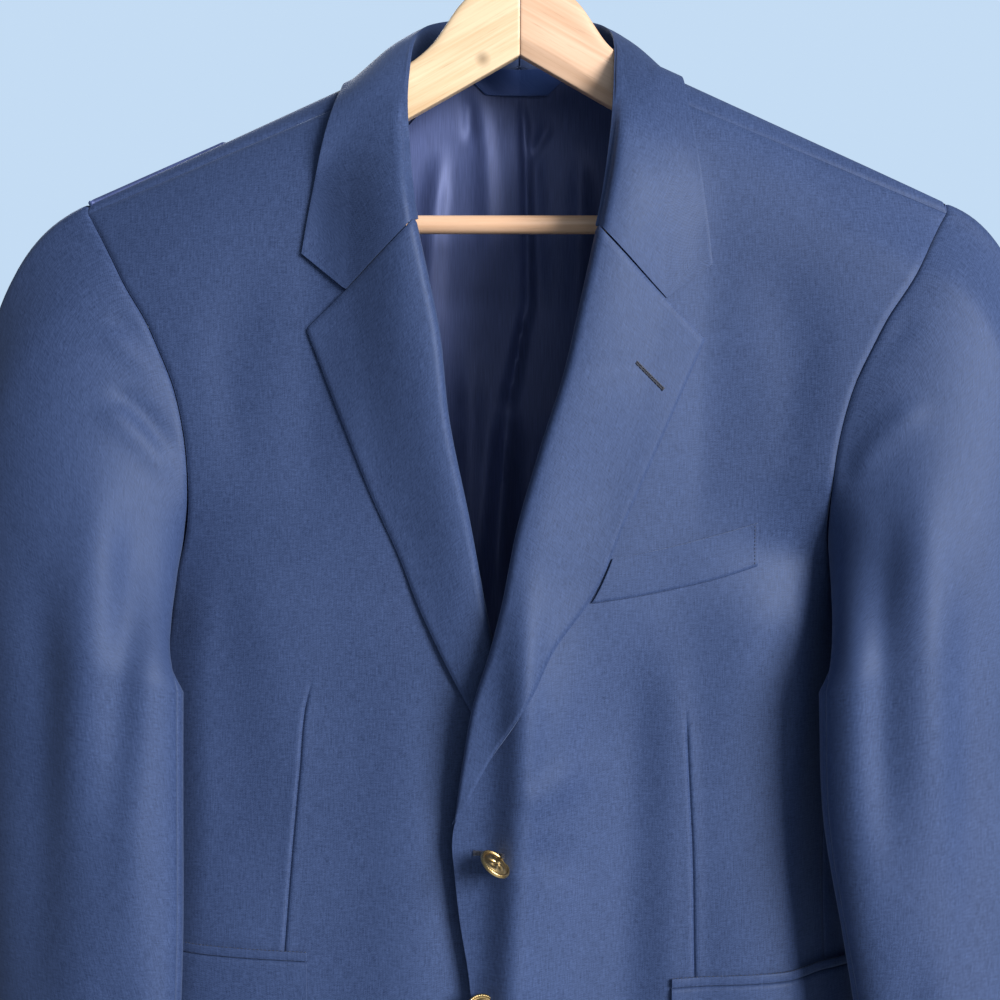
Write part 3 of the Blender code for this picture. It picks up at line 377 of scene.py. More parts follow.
@dataclass
class FrontCut:
    """Edges of the two fronts in the front view, and how one laps over the other."""

    form: HangingForm
    gorge_z: float = -242.0
    button_z: float = -604.0
    lift_reach: float = 150.0
    neck: Table = Table("z", {
        "z": [-159, -190, -220, -242],
        "left": [84, 78, 68, 56],
        "right": [-92, -89, -82, -71],
    })
    roll: dict[Side, Table] = by_side(
        Table("z", {
            "z": [-242, -291, -337, -380, -426, -473, -501, -529, -565, -604],
            "x": [45.9, 35.1, 24.4, 10.7, -2.5, -12.0, -19.2, -28.1, -34.7, -40.1],
        }),
        Table("z", {
            "z": [-242, -279, -308, -362, -422, -479, -540, -604],
            "x": [-62.5, -54.4, -48.4, -42.4, -30.5, -20.0, -7.0, 8.0],
        }),
    )
    edge: dict[Side, Table] = by_side(
        Table("z", {
            "z": [-604, -615, -630, -661, -694, -712, -760, -820, -870, -905, -922, -930],
            "x": [-40.1, -41.2, -40.0, -36.7, -31.4, -29.5, -23.0, -8.0, 16.0, 50.0, 78.0, 112.0],
        }),
        Table("z", {
            "z": [-604, -661, -712, -760, -820, -870, -905, -922, -930],
            "x": [8.0, 2.0, -6.0, -14.0, -29.0, -53.0, -87.0, -115.0, -149.0],
        }),
    )
    lapel_edge: dict[Side, Table] = by_side(
        Table("z", {
            "z": [-313.7, -369, -420, -469.6, -499.3, -524.3, -542.2, -558.9, -575, -589, -603],
            "x": [110.6, 86.0, 63.2, 41.0, 19.0, 6.5, -4.9, -15.6, -24.6, -31.4, -38.9],
        }),
        Table("z", {
            "z": [-307.4, -368.1, -410, -445.9, -469.8, -499.7, -536.8, -565, -589],
            "x": [-129.0, -105.3, -88.5, -72.4, -63.4, -49.7, -30.5, -15.0, -1.0],
        }),
    )
    lift: Table = Table("z", {
        "z": [-330, -400, -450, -500, -560, -604, -640, -700, -930],
        "left": [0, 5, 11, 13, 13, 11, 8, 5, 4.5],
        "right": [0, 1, 3, 4, 4, 3.5, 2.5, 1, 0.5],
    })

    def inner(self, side: Side, z: Numbers) -> Array:
        """Inner edge of a front: neck, then roll line, then front edge, from the shoulder to the hem.

        Args:
            side: The front.
            z: Heights.

        Returns:
            Sideways place of the edge.
        """
        z = np.asarray(z, float)
        below = np.where(z < self.button_z, self.edge[side]("x", z), self.roll[side]("x", z))
        return np.where(z > self.gorge_z, self.neck(side.word, z), below)

    def y(self, side: Side, x: Array, z: Array) -> Array:
        """Outer face of one front: the form, with the left lifted and the right sunk beside the opening."""
        reach = 1 - smooth(side.value * (x - self.inner(side, z)) / self.lift_reach)
        return self.form.front_y(x, z) - side.value * self.lift(side.word, z) * reach


# ---- meshes
def grid_faces(rows: int, columns: int, closed: bool = False) -> Array:
    """Quads of a grid, each from a point to the next row, the next column and back.

    Args:
        rows: Number of rows.
        columns: Number of columns.
        closed: Whether the last column joins the first.

    Returns:
        The corners of each quad.
    """
    index = np.arange(rows * columns).reshape(rows, columns)
    if closed:
        index = np.concatenate([index, index[:, :1]], axis=1)
    corners = (index[:-1, :-1], index[1:, :-1], index[1:, 1:], index[:-1, 1:])
    return np.stack([corner.ravel() for corner in corners], axis=-1)


def laid_flat(grid: Array) -> Array:
    """The cloth's own coordinates: length along each row and mean length down the columns, in millimetres.

    Args:
        grid: Points in rows and columns.

    Returns:
        Two coordinates for each point.
    """
    down = np.linalg.norm(np.diff(grid, axis=0), axis=-1).mean(axis=1)
    v = np.concatenate([[0], np.cumsum(down)])[:, None] * np.ones((1, grid.shape[1]))
    return np.stack([run_along(grid), v], axis=-1)


def make_piece(name: str, points: Array, faces: list | Array, materials: Sequence[Material],
               uv: Array | None = None) -> Piece:
    """A mesh object from points in millimetres, shaded smooth.

    Args:
        name: The piece's name.
        points: Its points.
        faces: Its faces, as corner numbers.
        materials: Its material slots.
        uv: Coordinates of each point on the cloth, in millimetres.

    Returns:
        The object, standing at the origin.
    """
    mesh = bpy.data.meshes.new(name)
    faces = faces.tolist() if isinstance(faces, Array) else faces
    mesh.from_pydata((points.reshape(-1, 3) * MM).tolist(), [], faces)
    for material in materials:
        mesh.materials.append(material)
    if uv is not None:
        corner = np.empty(len(mesh.loops), dtype=np.int32)
        mesh.loops.foreach_get("vertex_index", corner)
        layer = mesh.uv_layers.new(name="cloth")
        layer.data.foreach_set("uv", (uv.reshape(-1, 2)[corner] * MM).ravel())
    mesh.shade_smooth()
    piece = bpy.data.objects.new(name, mesh)
    bpy.context.scene.collection.objects.link(piece)
    return piece


def face_outwards(piece: Piece, fill: bool = False) -> None:
    """Turns a piece's faces outwards.

    Args:
        piece: The piece.
        fill: Whether its open ends are filled first.
    """
    body = bmesh.new()
    body.from_mesh(piece.data)
    if fill:
        bmesh.ops.holes_fill(body, edges=body.edges, sides=0)
    bmesh.ops.recalc_face_normals(body, faces=body.faces)
    body.to_mesh(piece.data)
    body.free()


def bevel(piece: Piece, width: float, degrees: float) -> None:
    """Rounds a piece's edges.

    Args:
        piece: The piece.
        width: Width of the rounding in millimetres.
        degrees: Angle that an edge has to pass to be rounded.
    """
    edge = piece.modifiers.new("edge", "BEVEL")
    edge.width = width * MM
    edge.segments = 2
    edge.limit_method = "ANGLE"
    edge.angle_limit = math.radians(degrees)


def seat(piece: Piece, slot: str, *nodes: str) -> None:
    """Sets a piece on the part's one body, in place of the nodes that it stands for.

    Args:
        piece: The piece.
        slot: Material slot of the record; not used.
        nodes: Nodes that it replaces.
    """
    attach(piece, "root")
    if nodes:
        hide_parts(*nodes)


@dataclass(frozen=True)
class Cloth:
    """A cloth as it is sewn: its face, what its inside shows and the wall that they make.

    Attributes:
        face: Material of the outside and of the edges.
        inside: Material of the inside.
        wall: Thickness in millimetres.
        round_edge: Radius of its edges.
    """

    face: Material
    inside: Material
    wall: float = 1.6
    round_edge: float = 0.5

    def shell(self, name: str, grid: Array, outward: int, uv: Array | None = None) -> Piece:
        """A wall behind a grid of outer points, with rounded edges.

        Args:
            name: The piece's name.
            grid: Outer points in rows and columns.
            outward: 1 where the rows crossed with the columns point out of the cloth, else -1.
            uv: The points' places on the flat cloth; measured on the grid where it is left out.

        Returns:
            The piece, with its wall and its edges as modifiers.
        """
        faces = grid_faces(*grid.shape[:2])
        if outward < 0:
            faces = faces[:, ::-1]
        uv = laid_flat(grid) if uv is None else uv
        piece = make_piece(name, grid, faces, (self.face, self.inside), uv)
        wall = piece.modifiers.new("wall", "SOLIDIFY")
        wall.thickness = self.wall * MM
        wall.offset = -1
        wall.use_quality_normals = True
        wall.material_offset = 1
        wall.material_offset_rim = 0
        bevel(piece, self.round_edge, 55)
        return piece

    def sewn(self, node: str, slot: str, grid: Array, outward: int, rests_on: Sequence[str],
             held: str = "hung", uv: Array | None = None) -> None:
        """A shell in place of a node.

        Args:
            node: The node that it stands for.
            slot: Material slot of the record; not used.
            grid: Outer points in rows and columns.
            outward: 1 where the grid's normals point out of the cloth, else -1.
            rests_on: What carries it; not used.
            held: How it is held; not used.
            uv: The points' places on the flat cloth, where they aren't measured on the grid.
        """
        piece = self.shell(f"{node}_cloth", grid, outward, uv)
        seat(piece, slot, node)
        declare_sheet(grid)


def declare_sheet(grid: Array) -> None:
    """Measures the cells of a shell's grid, and keeps nothing of it.

    Args:
        grid: Its outer points.
    """
    cells = np.cross(grid[1:, 1:] - grid[:-1, :-1], grid[1:, :-1] - grid[:-1, 1:])


def tube_rings(path: Array, radius: Numbers, sides: int) -> Array:
    """Rings of a tube round a path, each at a right angle to it.

    Args:
        path: The path's points.
        radius: Radius of the tube, or one for each point.
        sides: Points on each ring.

    Returns:
        The rings, one for each point of the path.
    """
    way = unit(np.gradient(path, axis=0))
    lead = np.where(np.abs(way[:, 1:2]) < 0.9, [[0.0, 1.0, 0.0]], [[0.0, 0.0, 1.0]])
    first = unit(np.cross(way, lead))
    second = np.cross(way, first)
    turn = turns(sides)
    reach = np.broadcast_to(np.asarray(radius, float), len(path))[:, None, None]
    round_way = np.cos(turn)[None, :, None] * first[:, None] + np.sin(turn)[None, :, None] * second[:, None]
    return path[:, None] + round_way * reach


class Bundle:
    """Many short tubes gathered into one mesh, as the stitches of a seam or a buttonhole."""

    def __init__(self) -> None:
        """Starts empty."""
        self.points: list[Array] = []
        self.faces: list[list[int]] = []
        self.count = 0

    def tube(self, path: Array, radius: Numbers, sides: int = 6) -> None:
        """Adds one closed tube.

        Args:
            path: Its path.
            radius: Its radius, or one for each point.
            sides: Its sides.
        """
        rings = tube_rings(path, radius, sides)
        rows = len(path)
        self.faces += (grid_faces(rows, sides, True)[:, ::-1] + self.count).tolist()
        self.faces.append([self.count + side for side in range(sides)])
        self.faces.append([self.count + rows * sides - 1 - side for side in range(sides)])
        self.points.append(rings.reshape(-1, 3))
        self.count += rows * sides

    def piece(self, name: str, material: Material) -> Piece:
        """The mesh of all the tubes.

        Args:
            name: The piece's name.
            material: Its material.

        Returns:
            The piece.
        """
        piece = make_piece(name, np.vstack(self.points), self.faces, (material,))
        face_outwards(piece)
        return piece


# ---- finishes
class Wire:
    """A shader socket that takes part in Python's arithmetic."""

    def __init__(self, paint: "Paint", socket: bpy.types.NodeSocket) -> None:
        """Keeps the material's builder and the socket."""
        self.paint = paint
        self.socket = socket

    def __add__(self, other: "Wire | float") -> "Wire":
        """Sum."""
        return self.paint.maths("ADD", self, other)

    def __sub__(self, other: "Wire | float") -> "Wire":
        """Difference."""
        return self.paint.maths("SUBTRACT", self, other)

    def __rsub__(self, other: float) -> "Wire":
        """Difference from a number."""
        return self.paint.maths("SUBTRACT", other, self)

    def __mul__(self, other: "Wire | float") -> "Wire":
        """Product."""
        return self.paint.maths("MULTIPLY", self, other)

    __radd__ = __add__
    __rmul__ = __mul__


class Paint:
    """Builds the nodes of one material round its Principled shader."""

    def __init__(self, name: str, **settings: float | tuple) -> None:
        """Makes the material and sets what is the same all over it.

        Args:
            name: The material's name.
            settings: Values of the shader's sockets, with underscores for blanks.
        """
        self.material = bpy.data.materials.new(name)
        self.material.use_nodes = True
        self.shader = self.material.node_tree.nodes["Principled BSDF"]
        for socket, value in settings.items():
            self.shader.inputs[socket.replace("_", " ")].default_value = value

    def node(self, kind: str, inputs: dict | None = None, output: str | int = 0, **settings: object) -> Wire:
        """Adds a node.

        Args:
            kind: The node's type.
            inputs: Values or wires for its sockets.
            output: The socket that is handed back.
            settings: Its own settings, set before the sockets.

        Returns:
            The output socket.
        """
        node = self.material.node_tree.nodes.new(kind)
        for setting, value in settings.items():
            setattr(node, setting, value)
        for socket, value in (inputs or {}).items():
            self.join(value, node.inputs[socket])
        return Wire(self, node.outputs[output])

    def join(self, value: object, socket: bpy.types.NodeSocket) -> None:
        """Links a wire to a socket, or sets the socket to a value."""
        if isinstance(value, Wire):
            self.material.node_tree.links.new(value.socket, socket)
        else:
            socket.default_value = value

    def maths(self, operation: str, first: Wire | float, second: Wire | float = 0.0) -> Wire:
        """A Math node on two wires or numbers."""
        return self.node("ShaderNodeMath", {0: first, 1: second}, operation=operation)

    def mix(self, factor: Wire | float, first: Wire | tuple, second: Wire | tuple) -> Wire:
        """A blend of two colours.

        Args:
            factor: Share of the second.
            first: First colour.
            second: Second colour.

        Returns:
            The blended colour.
        """
        first = first if isinstance(first, Wire) else (*first, 1.0)
        second = second if isinstance(second, Wire) else (*second, 1.0)
        return self.node("ShaderNodeMix", {0: factor, 6: first, 7: second}, output=2, data_type="RGBA")

    def between(self, value: Wire, low: float, high: float, to_low: float = 0.0,
                to_high: float = 1.0) -> Wire:
        """Carries a range of a value to another range, held at its ends."""
        return self.node("ShaderNodeMapRange", {0: value, 1: low, 2: high, 3: to_low, 4: to_high})

    def place(self, source: str, scale: tuple = (1, 1, 1), turn: tuple = (0, 0, 0)) -> Wire:
        """Coordinates of the surface, turned and then scaled.

        Args:
            source: UV for the cloth's own, Object for the part's frame.
            scale: Repeats a metre along each axis.
            turn: Turn in radians.

        Returns:
            The coordinates.
        """
        if source == "UV":
            plain = self.node("ShaderNodeUVMap", uv_map="cloth")
        else:
            plain = self.node("ShaderNodeTexCoord", output="Object")
        turned = self.node("ShaderNodeMapping", {"Vector": plain, "Rotation": turn})
        return self.node("ShaderNodeMapping", {"Vector": turned, "Scale": scale})

    def noise(self, place: Wire, detail: float = 3.0, rough: float = 0.5) -> Wire:
        """Cloudy noise over the coordinates, whose own scale sets its size."""
        return self.node("ShaderNodeTexNoise", {
            "Vector": place, "Scale": 1.0, "Detail": detail, "Roughness": rough})

    def finish(self, colour: Wire | None, roughness: Wire, height: Wire, relief_mm: float) -> Material:
        """Joins what changes over the surface to the shader.

        Args:
            colour: Base colour, where it changes.
            roughness: Roughness.
            height: Height of the relief, from 0 to 1.
            relief_mm: What a height of 1 stands for, in millimetres.

        Returns:
            The material.
        """
        if colour is not None:
            self.join(colour, self.shader.inputs["Base Color"])
        self.join(roughness, self.shader.inputs["Roughness"])
        bump = self.node("ShaderNodeBump", {"Height": height, "Distance": relief_mm * MM, "Strength": 1.0})
        self.join(bump, self.shader.inputs["Normal"])
        return self.material


@dataclass(frozen=True)
class Worsted:
    """Fine wool twill: steep diagonal ribs, yarns of uneven tone, a broad mottle that is part wear and part
    painted sheen, and a soft sheen.
    """

    name: str
    dark: Triple = (0.015, 0.027, 0.074)
    light: Triple = (0.055, 0.088, 0.205)
    sheen: float = 0.2
    rib_mm: float = 0.5
    rib_turn: float = math.radians(63)

    def make(self) -> Material:
        """The material."""
        paint = Paint(self.name, Sheen_Weight=self.sheen, Sheen_Roughness=0.38,
                      Sheen_Tint=(0.55, 0.68, 1.0, 1.0), Specular_IOR_Level=0.3,
                      Specular_Tint=(0.7, 0.8, 1.0, 1.0))
        rib = 1000 / self.rib_mm / TAU
        ribs = paint.node("ShaderNodeTexWave", {
            "Vector": paint.place("UV", (rib,) * 3, (0, 0, self.rib_turn)),
            "Scale": 1.0, "Distortion": 0.8, "Detail": 1.0}, output=1, bands_direction="X")
        warp = paint.noise(paint.place("UV", (1700, 120, 1)), 2.0)
        weft = paint.noise(paint.place("UV", (150, 1500, 1)), 2.0)
        nap = paint.noise(paint.place("UV", (650, 650, 1)), 5.0, 0.7)
        # broad mottle of the cloth's colour and roughness: part wear, part painted sheen
        wear_and_sheen = paint.noise(paint.place("UV", (14, 9, 1)), 3.0)
        tone = ribs * 0.06 + warp * 0.34 + weft * 0.26 + nap * 0.42 + wear_and_sheen * 0.14 - 0.11
        colour = paint.mix(paint.between(tone, 0.34, 0.74), self.dark, self.light)
        roughness = paint.between(nap * 0.6 + wear_and_sheen * 0.4, 0.3, 0.7, 0.5, 0.66)
        return paint.finish(colour, roughness, ribs * 0.1 + nap * 0.55 + warp * 0.35, 0.07)


@dataclass(frozen=True)
class Satin:
    """Shiny woven lining: fine threads down the cloth and a watery change of tone."""

    name: str
    dark: Triple = (0.030, 0.043, 0.112)
    light: Triple = (0.072, 0.098, 0.24)
    gloss: Pair = (0.42, 0.55)

    def make(self) -> Material:
        """The material."""
        paint = Paint(self.name, Sheen_Weight=0.2, Sheen_Roughness=0.35, Sheen_Tint=(0.55, 0.62, 1.0, 1.0),
                      Specular_IOR_Level=0.55, Specular_Tint=(0.5, 0.58, 1.0, 1.0))
        threads = paint.noise(paint.place("UV", (1600, 60, 1)), 2.0)
        water = paint.noise(paint.place("UV", (22, 7, 1)), 3.0)
        colour = paint.mix(paint.between(threads * 0.5 + water * 0.5, 0.3, 0.7), self.dark, self.light)
        roughness = paint.between(water, 0.3, 0.7, *self.gloss)
        return paint.finish(colour, roughness, threads, 0.03)


@dataclass(frozen=True)
class LacqueredWood:
    """Pale beech or lotus wood: long grain, growth lines, pores and one small knot under clear lacquer."""

    name: str
    lean: float
    pale: Triple = (0.80, 0.58, 0.36)
    deep: Triple = (0.60, 0.36, 0.18)
    knot: Triple | None = None

    def make(self) -> Material:
        """The material."""
        paint = Paint(self.name, Specular_IOR_Level=0.5, Coat_Weight=0.25, Coat_Roughness=0.25)
        turn = (0, self.lean, 0)
        cloud = paint.noise(paint.place("Object", (9, 30, 60), turn), 3.0)
        lines = paint.noise(paint.place("Object", (7, 120, 330), turn), 4.0, 0.6)
        pores = paint.noise(paint.place("Object", (60, 700, 1500), turn), 2.0)
        fibre = paint.noise(paint.place("Object", (25, 400, 900), turn), 3.0)
        tone = paint.between(cloud * 0.45 + lines * 0.55, 0.36, 0.68)
        colour = paint.mix(tone, self.pale, self.deep)
        pits = paint.between(pores * 0.6 + fibre * 0.4, 0.58, 0.72)
        colour = paint.mix(pits * 0.45, colour, tuple(0.55 * c for c in self.deep))
        if self.knot:
            spot = paint.node("ShaderNodeVectorMath", {0: paint.place("Object"), 1: self.knot},
                              output="Value", operation="DISTANCE")
            ring = paint.between(spot * 1000 + lines * 3.0, 2.2, 7.5, 1.0, 0.0)
            colour = paint.mix(ring * 0.75, colour, tuple(0.3 * c for c in self.deep))
        roughness = paint.between(fibre, 0.3, 0.7, 0.34, 0.5)
        return paint.finish(colour, roughness, lines * 0.4 + fibre * 0.6, 0.05)


@dataclass(frozen=True)
class Metal:
    """Polished or drawn metal with faint haze, and tarnish where the piece carries a `hollow` attribute."""

    name: str
    bright: Triple
    dull: Triple
    gloss: Pair
    tarnished: bool = False

    def make(self) -> Material:
        """The material."""
        paint = Paint(self.name, Metallic=1.0)
        haze = paint.noise(paint.place("Object", (260, 260, 260)), 3.0)
        scratch = paint.noise(paint.place("Object", (2600, 1200, 900)), 2.0)
        share = paint.between(haze, 0.35, 0.7) * 0.35
        if self.tarnished:
            share = share + paint.node("ShaderNodeAttribute", output="Fac", attribute_name="hollow") * 0.8
        colour = paint.mix(paint.between(share, 0.0, 1.0), self.bright, self.dull)
        roughness = paint.between(haze * 0.5 + scratch * 0.5 + share * 0.3, 0.3, 0.8, *self.gloss)
        return paint.finish(colour, roughness, scratch, 0.01)


@dataclass(frozen=True)
class Thread:
    """Sewing thread, matt and a little darker than its cloth."""

    name: str
    dark: Triple = (0.006, 0.008, 0.02)
    light: Triple = (0.016, 0.022, 0.05)

    def make(self) -> Material:
        """The material."""
        paint = Paint(self.name, Sheen_Weight=0.2)
        twist = paint.noise(paint.place("Object", (1800, 1800, 1800)), 2.0)
        roughness = paint.between(twist, 0.3, 0.7, 0.55, 0.75)
        colour = paint.mix(paint.between(twist, 0.35, 0.65), self.dark, self.light)
        return paint.finish(colour, roughness, twist, 0.05)


# ---- the body of the blazer
def edged(count: int, near: float) -> Array:
    """Shares from 0 to 1, three of them closer together at each end, where a seam rounds the cloth."""
    end = near * np.array([0.0, 0.25, 0.55])
    return np.concatenate([end, np.linspace(near, 1 - near, count), 1 - end[::-1]])


def seamed(grid: Array, outward: int, sewn: Iterable[Border], dip: float = 0.9, reach: float = 2.4) -> Array:
    """Turns a panel's borders into seams: the cloth dips there, and its allowance turns in at a right angle.

    The dip is an eased step over the distance from the border, measured on the grid.

    Args:
        grid: The panel's outer points.
        outward: 1 where the grid's normals point out of the cloth, else -1.
        sewn: Borders that are sewn.
        dip: Depth of the dip in millimetres.
        reach: Width of the dip.

    Returns:
        The grid with its seams.
    """
    out = grid_normals(grid) * outward
    borders = [border.value for border in sewn]
    far = np.full(grid.shape[:2], 1e3)
    for axis, border, _ in borders:
        far = np.minimum(far, np.linalg.norm(grid - grid.take([border], axis), axis=-1))
    moved = grid - out * (dip * (1 - smooth(far / reach)))[..., None]
    for axis, border, inner in borders:
        cloth = moved.swapaxes(0, axis)
        cloth[border] += unit(cloth[inner] - cloth[border]) * SEAM_GAP
    turned = -out * TURNED_IN
    for axis, border, inner in borders:
        cloth, inward = moved.swapaxes(0, axis), turned.swapaxes(0, axis)
        under = unit(cloth[inner] - cloth[border]) * UNDERLAP
        allowance = (cloth[border] + inward[border] - under)[None]
        pair, space = ((cloth, allowance), (0, 1)) if border else ((allowance, cloth), (1, 0))
        moved = np.concatenate(pair).swapaxes(0, axis)
        turned = np.pad(inward, (space, (0, 0), (0, 0))).swapaxes(0, axis)
    return np.ascontiguousarray(moved)


@dataclass
class BodyPanels:
    """Fronts, side bodies and backs, with the drape of the hung cloth.

    Each pair for an eased step holds its start and its reach.

    Attributes:
        front_levels: Heights that a front's rows pass through, and front_rows their number.
        roll_radius: Radius of the round fold at the roll edge.
        fold_foot: Step by height that ends the room for that fold above the buttons.
        fold_head: Step, by depth below the hook, that begins it under the neck.
        darts: Line of each front's dart, and dart_dip its depth.
        fullness: How far each chest stands forward beside the neck and beside the armhole.
        hollow_x: Distance from the middle of the chest's hollow between them.
        swell_power: Bow of the chest from that hollow to the armhole.
        fade: Reach of the steps that end the fullness.
        full_below: Depth under the ridge where the fullness begins.
        neck_reach: Step by distance from the middle, taken as negative, of the fullness beside the neck.
        neck_foot: Step by height of its foot, and neck_head the depth of its head.
        flank: How far each flank stands forward, out from flank_start and down from flank_head.
        flank_seam: Reach of its step from the seam.
        calm_seam: Step from the seam, and calm_ridge from the ridge, over which the creases begin.
        calm_back: The same step from the ridge for the back, and calm_middle its reach from the centre seam.
        uneven: Height of the fronts' unevenness, and uneven_back of the backs'.
    """

    cut: FrontCut
    cloth: Cloth
    front_levels: tuple[float, ...] = (
        -159, -185, -212, -236, -262, -290, -320, -350, -382, -414, -446, -476, -508, -540, -568, -592,
        -612, -640, -676, -712, -752, -796, -838, -870, -894, -912, -924, HEM_Z)
    front_rows: int = 150
    fold_foot: Pair = (-606.0, 14.0)
    fold_head: Pair = (228.0, 16.0)
    roll_radius: Table = Table("z", {"z": [-242, -400, -520, -592], "radius": [6.8, 6.0, 4.2, 2.4]})
    armhole_front: Table = Table("z", {
        "z": [-233, -262, -281, -301, -318, -339, -364, -390, -411, -432, -452],
        "half": [265, 247, 236, 223, 214.5, 205, 198, 194, 193, 195, 200],
    })
    armhole_back: Table = Table("z", {
        "z": [-226, -260, -290, -330, -380, -430, -455],
        "half": [265, 251, 242, 233, 229, 231, 233],
    })
    side_front: Table = Table("z", {"z": [-452, -520, -600, -720, -930], "half": [200, 207, 203, 208, 219]})
    side_back: Table = Table("z", {"z": [-455, -520, -600, -720, -930], "half": [231, 214, 204, 208, 220]})
    darts: dict[Side, Table] = by_side(
        Table("z", {"z": [-536, -581, -615, -694, -705], "x": [99.2, 101.4, 103.1, 104.3, 104.5]}),
        Table("z", {"z": [-518, -528, -575, -620, -679, -690],
                    "x": [-125.6, -128.6, -134.0, -138.2, -142.7, -143.5]}),
    )
    dart_dip: float = 1.1
    fullness: dict[Side, Pair] = by_side((6.0, 23.0), (14.0, 7.0))
    hollow_x: float = 114.0
    swell_power: float = 1.4
    fade: float = 60.0
    full_below: float = 6.0
    neck_reach: Pair = (-128.0, 66.0)
    neck_foot: Pair = (-470.0, 150.0)
    neck_head: float = 180.0
    flank_start: Pair = (96.0, 80.0)
    flank_seam: float = 30.0
    flank_head: float = 430.0
    calm_seam: Pair = (4.0, 34.0)
    calm_ridge: Pair = (26.0, 40.0)
    calm_back: Pair = (30.0, 50.0)
    calm_middle: float = 22.0
    uneven: float = 0.55
    uneven_back: float = 0.8
    flank: dict[Side, float] = by_side(11.0, 4.0)
    back_neck: Table = Table("girth", {
        "girth": [-45, -22, 0, 22, 42, 60, 76, 85],
        "x": [88, 86, 82, 75, 65, 50, 27, 0],
    })
    back_girths: tuple[float, ...] = (-45, -22, 0, 22, 42, 60, 76, 90, 130, 175, 225, 280, 330, 380, 433)
    back_levels: tuple[float, ...] = (-510, -552, -600, -655, -715, -790, -862, HEM_Z)

    @property
    def form(self) -> HangingForm:
        """The form that the panels take."""
        return self.cut.form

    def outer_front(self, side: Side, z: Array) -> Array:
        """Outer edge of a front: armhole seam above, side seam below.

        Args:
            side: The front.
            z: Heights along the edge.

        Returns:
            Sideways place of the edge.
        """
        z = np.asarray(z, float)
        above = z > self.armhole_front.end("z", -1)
        half = np.where(above, self.armhole_front("half", z), self.side_front("half", z))
        return side.value * half + self.form.sway(z)

    def front_edges(self, side: Side, level: Array) -> tuple[Array, Array, Array]:
        """Where each row of a front begins and ends: rows slope with the shoulder above the armpit.

        Args:
            side: The front.
            level: Height of each row at its inner edge.

        Returns:
            Inner X, outer X and outer height.
        """
        top, shoulder = self.front_levels[0], self.armhole_front.end("z")
        outer_z = level + (shoulder - top) * np.clip((level - ARMPIT_Z) / (top - ARMPIT_Z), 0, 1)
        fold = (self.roll_radius("radius", level) + 0.3) * eased(level, *self.fold_foot)
        inner = self.cut.inner(side, level) + side.value * fold * eased(-level, *self.fold_head)
        return inner, self.outer_front(side, outer_z), outer_z

    def front_grid(self, side: Side) -> Array:
        """A front from the shoulder seam to the hem and from its inner edge to the armhole and side seams.

        Columns lie closer along the dart, so that its seam line is sharp.

        Args:
            side: The front.

        Returns:
            Its outer points.
        """
        level = finer(self.front_levels, self.front_rows)
        level = np.concatenate([[level[0], level[0] - 0.7, level[0] - 1.6], level[1:]])[:, None]
        inner, outer, outer_z = self.front_edges(side, level)
        dart = self.darts[side]
        dart_x = dart("x", level)
        dart_share = (dart_x - inner) / (outer - inner)
        fine = np.array([-6.0, -3.6, -2.2, -1.3, -0.7, -0.3, 0.0, 0.3, 0.7, 1.3, 2.2, 3.6, 6.0])
        near = fine[None] / np.abs(outer - inner)
        first = edged(34, 0.02)[None] * np.ones_like(level)
        first = first[:, first[0] < 0.985]
        last = edged(46, 0.016)[None] * np.ones_like(level)
        last = last[:, last[0] > 0.018]
        share = np.concatenate([first / 0.985 * (dart_share + near[:, :1]) * 0.985, dart_share + near,
                                dart_share + near[:, -1:] + (1 - dart_share - near[:, -1:]) * last], axis=1)
        x = inner + (outer - inner) * share
        z = level + (outer_z - level) * share
        y = self.surface(side, x, z)
        ends = dart.columns["z"]
        sewn = smooth((ends[0] - z) / 18) * smooth((z - ends[-1]) / 4)
        off = np.abs(x - dart("x", z))
        beside = 0.35 * np.exp(-(((off - 3.0) / 2.2) ** 2))
        y = y + (self.dart_dip * np.exp(-((off / 0.8) ** 2)) - beside) * sewn
        return np.stack([x, y, z], axis=-1)

    def surface(self, side: Side, x: Array, z: Array) -> Array:
        """Outer face of a front with its drape, which dies away towards the sewn seams.

        Args:
            side: The front.
            x: Sideways places.
            z: Heights.

        Returns:
            The face's Y.
        """
        x, z = np.broadcast_arrays(np.asarray(x, float), np.asarray(z, float))
        flat = self.cut.y(side, x, z)
        from_seam = side.value * (self.outer_front(side, z) - x)
        below = self.form.ridge_z(x) - z
        calm = eased(from_seam, *self.calm_seam) * eased(below, *self.calm_ridge)
        drape = crease_heights(FRONT_CREASES[side], x, z) + unevenness(x, z, self.uneven, 1.0 + side.value)
        away = np.abs(x - self.form.sway(z))
        swell = np.clip((away - self.hollow_x) / np.maximum(from_seam + away - self.hollow_x, 1), 0, 1)
        full = swell**self.swell_power * eased(z, self.armhole_front.end("z", -1), self.fade)
        full = full * eased(below, self.full_below, self.fade)
        neck = eased(-away, *self.neck_reach) * eased(z, *self.neck_foot)
        neck = neck * eased(-z, self.neck_head, self.fade)
        at_neck, at_armhole = self.fullness[side]
        flank = eased(away, *self.flank_start) * eased(from_seam, 0, self.flank_seam)
        flank = flank * eased(-z, self.flank_head, self.fade)
        return flat - drape * calm - at_armhole * full - at_neck * neck - self.flank[side] * flank

